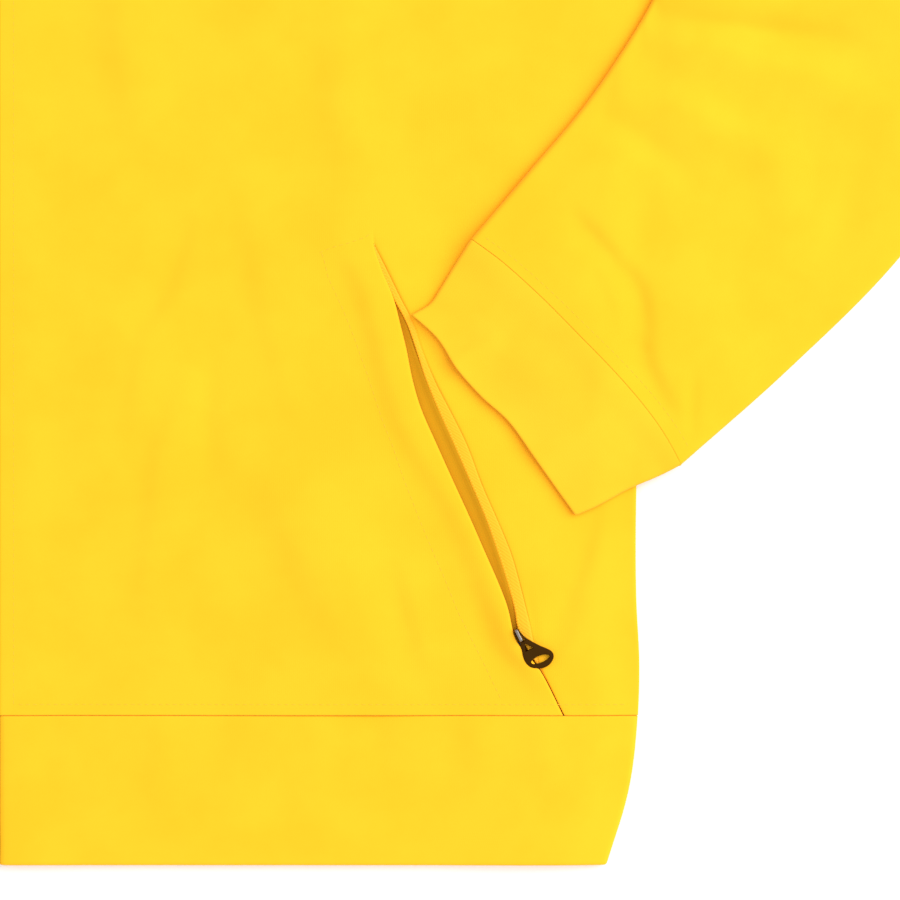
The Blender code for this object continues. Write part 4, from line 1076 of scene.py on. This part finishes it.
# Cuff seam: share from its upper to its lower end, bow towards the sleeve
SEAM_BOW = np.array([
    (0.00, 0.0000), (0.11, 0.0026), (0.26, 0.0044), (0.49, 0.0054), (0.61, 0.0058),
    (0.73, 0.0056), (0.86, 0.0041), (0.95, 0.0018), (1.00, 0.0000),
])
LEFT_SLEEVE_CREASES = (
    (232, 262, 246, 247, 258, 232, 7, 3.5, -1.30),
    (254, 240, 261.5, 225, 262, 204, 7, 3.5, -1.60),
    (261, 212, 265, 197, 277, 176, 7, 3.5, -1.50),
    (283, 199, 282.6, 186, 282, 168, 3, 1.8, -0.70),
    (240, 238, 247, 228, 250, 210, 5, 3, -0.45),
    (262, 330, 310, 322, 372, 300, 12, 8, 2.70),
    (268, 346, 320, 348, 396, 352, 12, 8, 3.10),
    (272, 360, 320, 378, 392, 404, 10, 9, 2.84),
    (276, 374, 312, 410, 362, 452, 10, 9, 2.29),
    (264, 338, 308, 334, 356, 328, 6, 5, -1.76),
    (270, 353, 312, 362, 362, 374, 6, 5, -1.89),
    (274, 367, 306, 393, 340, 424, 6, 5, -1.62),
    (250, 312, 284, 300, 330, 276, 10, 8, 1.76),
    (244, 300, 262, 290, 286, 272, 7, 6, -1.22),
    (282, 404, 290, 450, 276, 520, 10, 8, 1.76),
    (286, 420, 304, 470, 312, 540, 10, 9, 1.49),
    (260, 600, 276, 560, 300, 520, 8, 10, 1.35),
    (336, 540, 356, 500, 372, 450, 8, 12, 1.49),
    (306, 300, 318, 268, 318, 236, 9, 12, 0.80),
    (350, 290, 344, 262, 330, 236, 7, 8, -0.80),
)
RIGHT_SLEEVE_CREASES = (
    (228, 264, 252, 240, 270, 204, 5, 5, -1.27),
    (268, 220, 262, 196, 276, 170, 4, 5, -1.20),
    (242, 272, 270, 238, 282, 206, 8, 7, 1.05),
    (290, 214, 298, 196, 304, 184, 6, 6, 0.75),
    (260, 334, 316, 330, 380, 312, 9, 11, 3.65),
    (268, 350, 326, 356, 404, 366, 9, 12, 3.44),
    (274, 366, 316, 390, 384, 424, 10, 10, 3.24),
    (264, 342, 310, 342, 360, 340, 5, 6, -2.23),
    (272, 358, 312, 372, 358, 392, 5, 6, -2.43),
    (278, 380, 306, 418, 346, 462, 9, 10, 2.23),
    (248, 308, 288, 296, 336, 268, 8, 9, 1.62),
    (284, 408, 296, 456, 286, 530, 8, 10, 1.82),
    (262, 606, 280, 572, 306, 536, 10, 8, 1.42),
    (340, 550, 362, 500, 366, 456, 8, 12, 1.62),
    (296, 306, 312, 262, 318, 230, 9, 9, 0.90),
)
CUFF_CREASES = (
    (170, 190, 184, 199, 206, 212, 5, 4, 1.30),
    (172, 226, 184, 222, 198, 224, 4, 4, -0.40),
    (206, 160, 220, 166, 240, 178, 8, 8, 0.50),
    (240, 196, 250, 188, 262, 172, 6, 5, 0.35),
    (196, 240, 214, 226, 234, 206, 9, 8, 0.30),
)


def overlay_floor(x, y):
    """What a sleeve or cuff lies on: the front, then down past the side seam to the floor."""
    edge = curve_at(SIDE, y, 1)
    height = front_rest(np.minimum(x, edge), np.minimum(y, UNDERARM_Y)) + OVERLAY_GAP
    forearm = ease((ARM_RAMP_Y[1] - y) / (ARM_RAMP_Y[1] - ARM_RAMP_Y[0]))
    height = height * (1 - ease((x - edge - RAMP_START) / (ARM_RAMP + (RAMP - ARM_RAMP) * forearm)))
    return height * (1 - ease((y - ARM_END[0]) / ARM_END[1]))


def tube_run(radius, wall, width, steps):
    """Round a flattened tube: place across outside and inside, and height from -1 to 1, closed on itself."""
    out_inset, in_inset, height = turned(radius, wall)
    top = width * np.linspace(0, 1, steps + 2)[1:-1]
    outer = np.concatenate([out_inset[::-1], top, width - out_inset, top[::-1], out_inset[-1:]])
    inner = np.concatenate([in_inset[::-1], top, width - in_inset, top[::-1], in_inset[-1:]])
    high = np.concatenate([height[::-1], 1 + 0 * top, height, -1 - 0 * top, height[-1:]])
    return outer, inner, high


def sleeve_place(row, share):
    """Plan points, share of the way from the sleeve's inner edge to its outer edge."""
    inner = np.array([curve_at(SLEEVE, row, 1), curve_at(SLEEVE, row, 2)])
    outer = np.array([curve_at(SLEEVE, row, 3), curve_at(SLEEVE, row, 4)])
    place = inner + (outer - inner) * share[:, None]
    chord = ARMHOLE[0, 1] + (SHOULDER[0] - ARMHOLE[0, 1]) * share
    at_armhole = max(0, 1 - 2 * row)  # its curve is gone half a row on
    place[:, 0] += at_armhole * (curve_at(ARMHOLE, share, 1) - chord)
    across = (outer - inner) / np.linalg.norm(outer - inner)
    bow = curve_at(SEAM_BOW, share, 1) * ease((row - (last_row - 2)) / 2)
    return place + np.array([-across[1], across[0]]) * bow[:, None]


def tube_rows(rows, place_at, thick_at, radius, wall, steps):
    """Outside, inside and cut of a flattened tube, row by row."""
    outer_rows, inner_rows, cuts = [], [], []
    length, before = 0.0, None
    for row in rows:
        ends = place_at(row, np.array([0.0, 1.0]))
        width = np.linalg.norm(ends[1] - ends[0])
        middle = ends.mean(0)
        length += 0 if before is None else np.linalg.norm(middle - before)
        before = middle
        out_at, in_at, high = tube_run(radius, wall, width, steps)
        for found, at, inset in ((outer_rows, out_at, 0.0), (inner_rows, in_at, wall)):
            share = at / width
            thick = thick_at(row, share)
            z = thick / 2 + high * (thick / 2 - inset)
            found.append(np.column_stack([place_at(row, share), z, ease((high + 1) / 2)]))
        around = np.where(high >= 0, out_at, 2 * width - out_at)
        around[-1] = 2 * width
        cuts.append(np.stack([around, length + 0 * around], -1))
    return np.array(outer_rows), np.array(inner_rows), np.array(cuts)


def sleeve_thick(row, share):
    puff = curve_at(SLEEVE, row, 5) * np.maximum(4 * share * (1 - share), 0) ** SLEEVE_CROWN
    return 2 * SLEEVE_TURN + puff


def lay_over(piece, table, side):
    """Lays a sleeve or cuff on what is under it, with the same creases on both, so that they agree at their seam."""
    drape(piece, lambda x, y, lift: (
        overlay_floor(x, y) + lift * (creases(x, y, table + CUFF_CREASES) + OVERLAY_HANG * hang(x, y))
    ), side)


arms = (("left", 1, LEFT_SLEEVE_CREASES), ("right", -1, RIGHT_SLEEVE_CREASES))
for word, side, table in arms:
    outer, inner, cut = tube_rows(SLEEVE_ROWS, sleeve_place, sleeve_thick, SLEEVE_TURN, CLOTH, steps=27)
    sleeve = cloth_mesh(f"sleeve_{word}_jersey", folded(outer, inner, cut, closed=True), side=side)
    lay_over(sleeve, table, side)
    dress(sleeve, jersey)
    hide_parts(f"sleeve_{word}")


# Cuffs
# A deep plain cuff of doubled jersey, folded at the opening, sewn to the sleeve with a curved seam. Its upper
# corner is pinched where it lies on the pocket's mouth.

# Rows by share of the way from the seam to the opening; the first goes under the sleeve's end
CUFF_ROWS = np.concatenate([[-0.01, 0, 0.035], np.linspace(0.10, 0.90, 13), [0.965, 0.995]])
CUFF_CLOTH = 0.0011  # a layer, doubled by the fold at the opening
CUFF_TURN = 0.0012
CUFF_PUFF = 0.0028
CUFF_CROWN = 0.5
CUFF_FLAT_FROM = 0.35  # beyond this share the puff falls towards the opening
CUFF_FLAT = 0.8  # and loses this much
CUFF_SEAM = np.array([(0.1936, 0.2508), (0.2776, 0.1603)])
SEAM_THICK = 0.25  # over this share it thins down from the sleeve's thickness
SEAM_STEP = 0.00008  # the cuff lies this much lower where it goes under the sleeve's turned edge
SEAM_UNDER = np.array([-0.00034, 0.00032])  # and reaches this far under it
# Opening from its upper corner to its lower one, and both edges from the seam to the opening, in mm
OPENING = np.array([
    (0.00, 169.6, 220.4), (0.10, 178.6, 212.4), (0.29, 188.4, 197.6), (0.40, 196.6, 188.4), (0.58, 208.4, 177.6),
    (0.75, 218.4, 163.6), (0.93, 230.0, 147.2), (1.00, 235.2, 140.0),
])
UPPER_EDGE = np.array([
    (0.00, 193.2, 250.4), (0.22, 187.0, 240.6), (0.45, 180.8, 230.4), (0.70, 177.0, 224.8), (1.00, 169.6, 220.4),
])
LOWER_EDGE = np.array([
    (0.00, 277.2, 160.0), (0.25, 268.0, 155.4), (0.50, 257.0, 150.8), (0.80, 243.6, 143.6), (1.00, 235.2, 140.0),
])
# The same jersey, doubled and pressed: a touch paler in colour, with its columns drawn a little coarser
cuff_jersey = bonded_jersey("cuff_jersey", "#F6B921", "#F4B51D", wale=0.9)


def cuff_place(row, share):
    """Plan points of the cuff: row 0 at the seam and 1 at the opening, share from its upper edge to its lower."""
    under = SEAM_UNDER * (row < 0)
    row = max(row, 0.0)
    seam = CUFF_SEAM[0] + (CUFF_SEAM[1] - CUFF_SEAM[0]) * share[:, None]
    across = (CUFF_SEAM[1] - CUFF_SEAM[0]) / np.linalg.norm(CUFF_SEAM[1] - CUFF_SEAM[0])
    seam = seam + np.array([-across[1], across[0]]) * curve_at(SEAM_BOW, share, 1)[:, None]
    opening = np.stack([curve_at(OPENING, share, k) for k in (1, 2)], -1) / 1000
    edges, chords = [], []
    for table in (UPPER_EDGE, LOWER_EDGE):
        edges.append(np.array([curve_at(table, row, k) for k in (1, 2)]) / 1000)
        chords.append((table[0, 1:] * (1 - row) + table[-1, 1:] * row) / 1000)
    sides, straight = (upper + (lower - upper) * share[:, None] for upper, lower in (edges, chords))
    return seam * (1 - row) + opening * row + sides - straight - under


def cuff_thick(row, share):
    """As thick as the sleeve at the seam and doubled cloth beyond it."""
    puff = CUFF_PUFF * np.maximum(4 * share * (1 - share), 0) ** CUFF_CROWN
    thick = 2 * CUFF_TURN + puff * (1 - CUFF_FLAT * ease((row - CUFF_FLAT_FROM) / (1 - CUFF_FLAT_FROM)))
    at_seam = 1 - ease(row / SEAM_THICK)
    return thick + at_seam * (sleeve_thick(last_row, share) - 2 * SEAM_STEP - thick)


for word, side, table in arms:
    outer, inner, cut = tube_rows(CUFF_ROWS, cuff_place, cuff_thick, CUFF_TURN, CUFF_CLOTH, steps=30)
    cuff = cloth_mesh(f"cuff_{word}_jersey", folded(outer, inner, cut, closed=True), side=side)
    lay_over(cuff, table, side)
    dress(cuff, cuff_jersey)
    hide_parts(f"cuff_{word}")


# Sewing
# Lock stitches in matching polyester thread, about 2.8 mm long: round the pocket facings, beside the cuff,
# armhole, shoulder, neck and hem seams and along both edges of the front zip.

STITCH_PITCH = 0.0028
STITCH = (0.0022, 0.00036, 0.00028)  # long, wide, high
STITCH_SINK = 0.00006  # into the cloth
STITCH_INSET = 0.0045  # from a seam
ZIP_INSET = 0.006  # from a front's edge
ZIP_SEWN = (0.064, 0.624)  # from and to, up the front
HEM_SEWN = (0.012, 0.256)  # across the front
SHOULDER_SEWN = (0.086, 0.228)  # across the shoulder
ARM_SEWN = (0.03, 0.97)  # share of the armhole, and of the sleeve's way round beside the cuff
NECK_SEWN = (0.06, 0.95)  # share of the neck's curve
BESIDE_CUFF = 0.105  # of a row of the sleeve, before its last
# Polyester filament, twisted and bonded: a shade deeper than the jersey, with a dull shine
thread = moulded("polyester_thread", "#F5B21A", 0.70, 0.3)


def stitch_rows(name, cloth, paths, side):
    """Rows of stitches let into the top of a cloth, under paths given in plan."""
    tree = BVHTree.FromObject(cloth, bpy.context.evaluated_depsgraph_get())
    down = Vector((0, 0, -1))

    def on_cloth(x, y):
        found = tree.ray_cast(Vector((x * side, y - HALF_LENGTH, 0.1)), down)[0]
        return None if found is None else found.z - STITCH_SINK

    centres, directions = [], []
    for path in paths:
        for (x, y), (dx, dy) in zip(*walk(path, STITCH_PITCH)):
            length = math.hypot(dx, dy)
            dx, dy = dx / length * STITCH[0] / 2, dy / length * STITCH[0] / 2
            ends = on_cloth(x - dx, y - dy), on_cloth(x + dx, y + dy)
            if None in ends or abs(ends[0] - ends[1]) > STITCH[0]:
                continue
            centres.append((side * x, y, sum(ends) / 2))
            directions.append((side * dx * 2, dy * 2, ends[1] - ends[0]))
    sewn = bars(name, centres, directions, *STITCH, sides=5)
    dress(sewn, thread)


FACING = np.array([
    (132.4, 245.2), (138.4, 247.6), (144.4, 249.2), (151.4, 251.6), (153.4, 253.2),
]) / 1000
FACING_SIDE = np.array([
    (133.6, 245.6), (134.8, 242.6), (136.4, 235.6), (142.4, 222.6), (146.4, 212.6), (151.8, 197.6), (158.4, 177.6),
    (162.4, 167.6), (166.4, 155.6), (173.4, 137.6), (178.4, 125.6), (182.8, 115.6), (188.4, 101.6),
    (194.4, 89.6), (197.4, 83.6), (206.0, 66.0),
]) / 1000
zip_edge = column(FRONT_EDGE + ZIP_INSET, np.linspace(*ZIP_SEWN, 60))
arm_shares = np.linspace(*ARM_SEWN, 40)
arm_y = UNDERARM_Y + arm_shares * (SHOULDER[1] - UNDERARM_Y)
arm = column(curve_at(ARMHOLE, arm_shares, 1) - STITCH_INSET, arm_y)
shoulder_x = np.linspace(*SHOULDER_SEWN, 20)
shoulder = np.stack([shoulder_x, shoulder_y(shoulder_x) - STITCH_INSET], -1)
neck, into = neck_arc(FRONT_EDGE, FRONT_NECK_Y, NECK_POINT, np.linspace(*NECK_SEWN, 30))
hem = level_row(*HEM_SEWN, np.linspace(0, 1, 30), HEM_BAND + STITCH_INSET)
front_rows = [FACING, FACING_SIDE, zip_edge, arm, shoulder, neck - into * STITCH_INSET, hem]
beside_cuff = sleeve_place(last_row - BESIDE_CUFF, arm_shares)
for word, side in (("left", 1), ("right", -1)):
    stitch_rows(f"front_{word}_stitching", fronts[word], front_rows, side)
    sleeve = bpy.data.objects[f"sleeve_{word}_jersey"]
    stitch_rows(f"sleeve_{word}_stitching", sleeve, [beside_cuff], side)


# Floor, light and camera
# A plain white floor under one large soft light from the jacket's left and an even white surround.

FLOOR_SIZE = 40
FLOOR_Z = -0.0002
SURROUND = 0.885  # strength of the even white
SOFTBOX_SIZE = 4.6
SOFTBOX_WATTS = 208
SOFTBOX_PLACE = (2.9, 0.8, 3.2)

# Painted board, matt: an even white with no shine
floor_finish = new_finish("matt_white_floor", Roughness=0.95, Base_Color=linear("#F4F4F4"))[0]
bpy.ops.mesh.primitive_plane_add(size=FLOOR_SIZE, location=(0, 0, FLOOR_Z))
floor = bpy.context.object
floor.name = floor.data.name = "floor"
floor.data.materials.append(floor_finish)

world = bpy.data.worlds.new("studio")
world.use_nodes = True
world.node_tree.nodes["Background"].inputs["Color"].default_value = (1, 1, 1, 1)
world.node_tree.nodes["Background"].inputs["Strength"].default_value = SURROUND
bpy.context.scene.world = world
bpy.context.scene.view_settings.view_transform = "Standard"

softbox = bpy.data.lights.new("softbox", "AREA")
softbox.shape = "SQUARE"
softbox.size = SOFTBOX_SIZE
softbox.energy = SOFTBOX_WATTS
lamp = bpy.data.objects.new("softbox", softbox)
lamp.location = SOFTBOX_PLACE
lamp.rotation_euler = (-lamp.location).to_track_quat("-Z", "Y").to_euler()  # towards the origin
lamp.visible_camera = False
bpy.context.scene.collection.objects.link(lamp)

FRAME_WIDTH = 0.360  # of the garment across the picture, at MEAN_HEIGHT
MEAN_HEIGHT = 0.008
LENS = 180.0
SENSOR = 36.0
VIEW_CENTRE = (0.1852, 0.1664)
camera = bpy.data.cameras.new("camera")
camera.lens = LENS
camera.sensor_width = SENSOR
camera.clip_end = 50
eye = bpy.data.objects.new("camera", camera)
eye.location = (VIEW_CENTRE[0], VIEW_CENTRE[1] - HALF_LENGTH, MEAN_HEIGHT + FRAME_WIDTH * LENS / SENSOR)
bpy.context.scene.collection.objects.link(eye)
bpy.context.scene.camera = eye
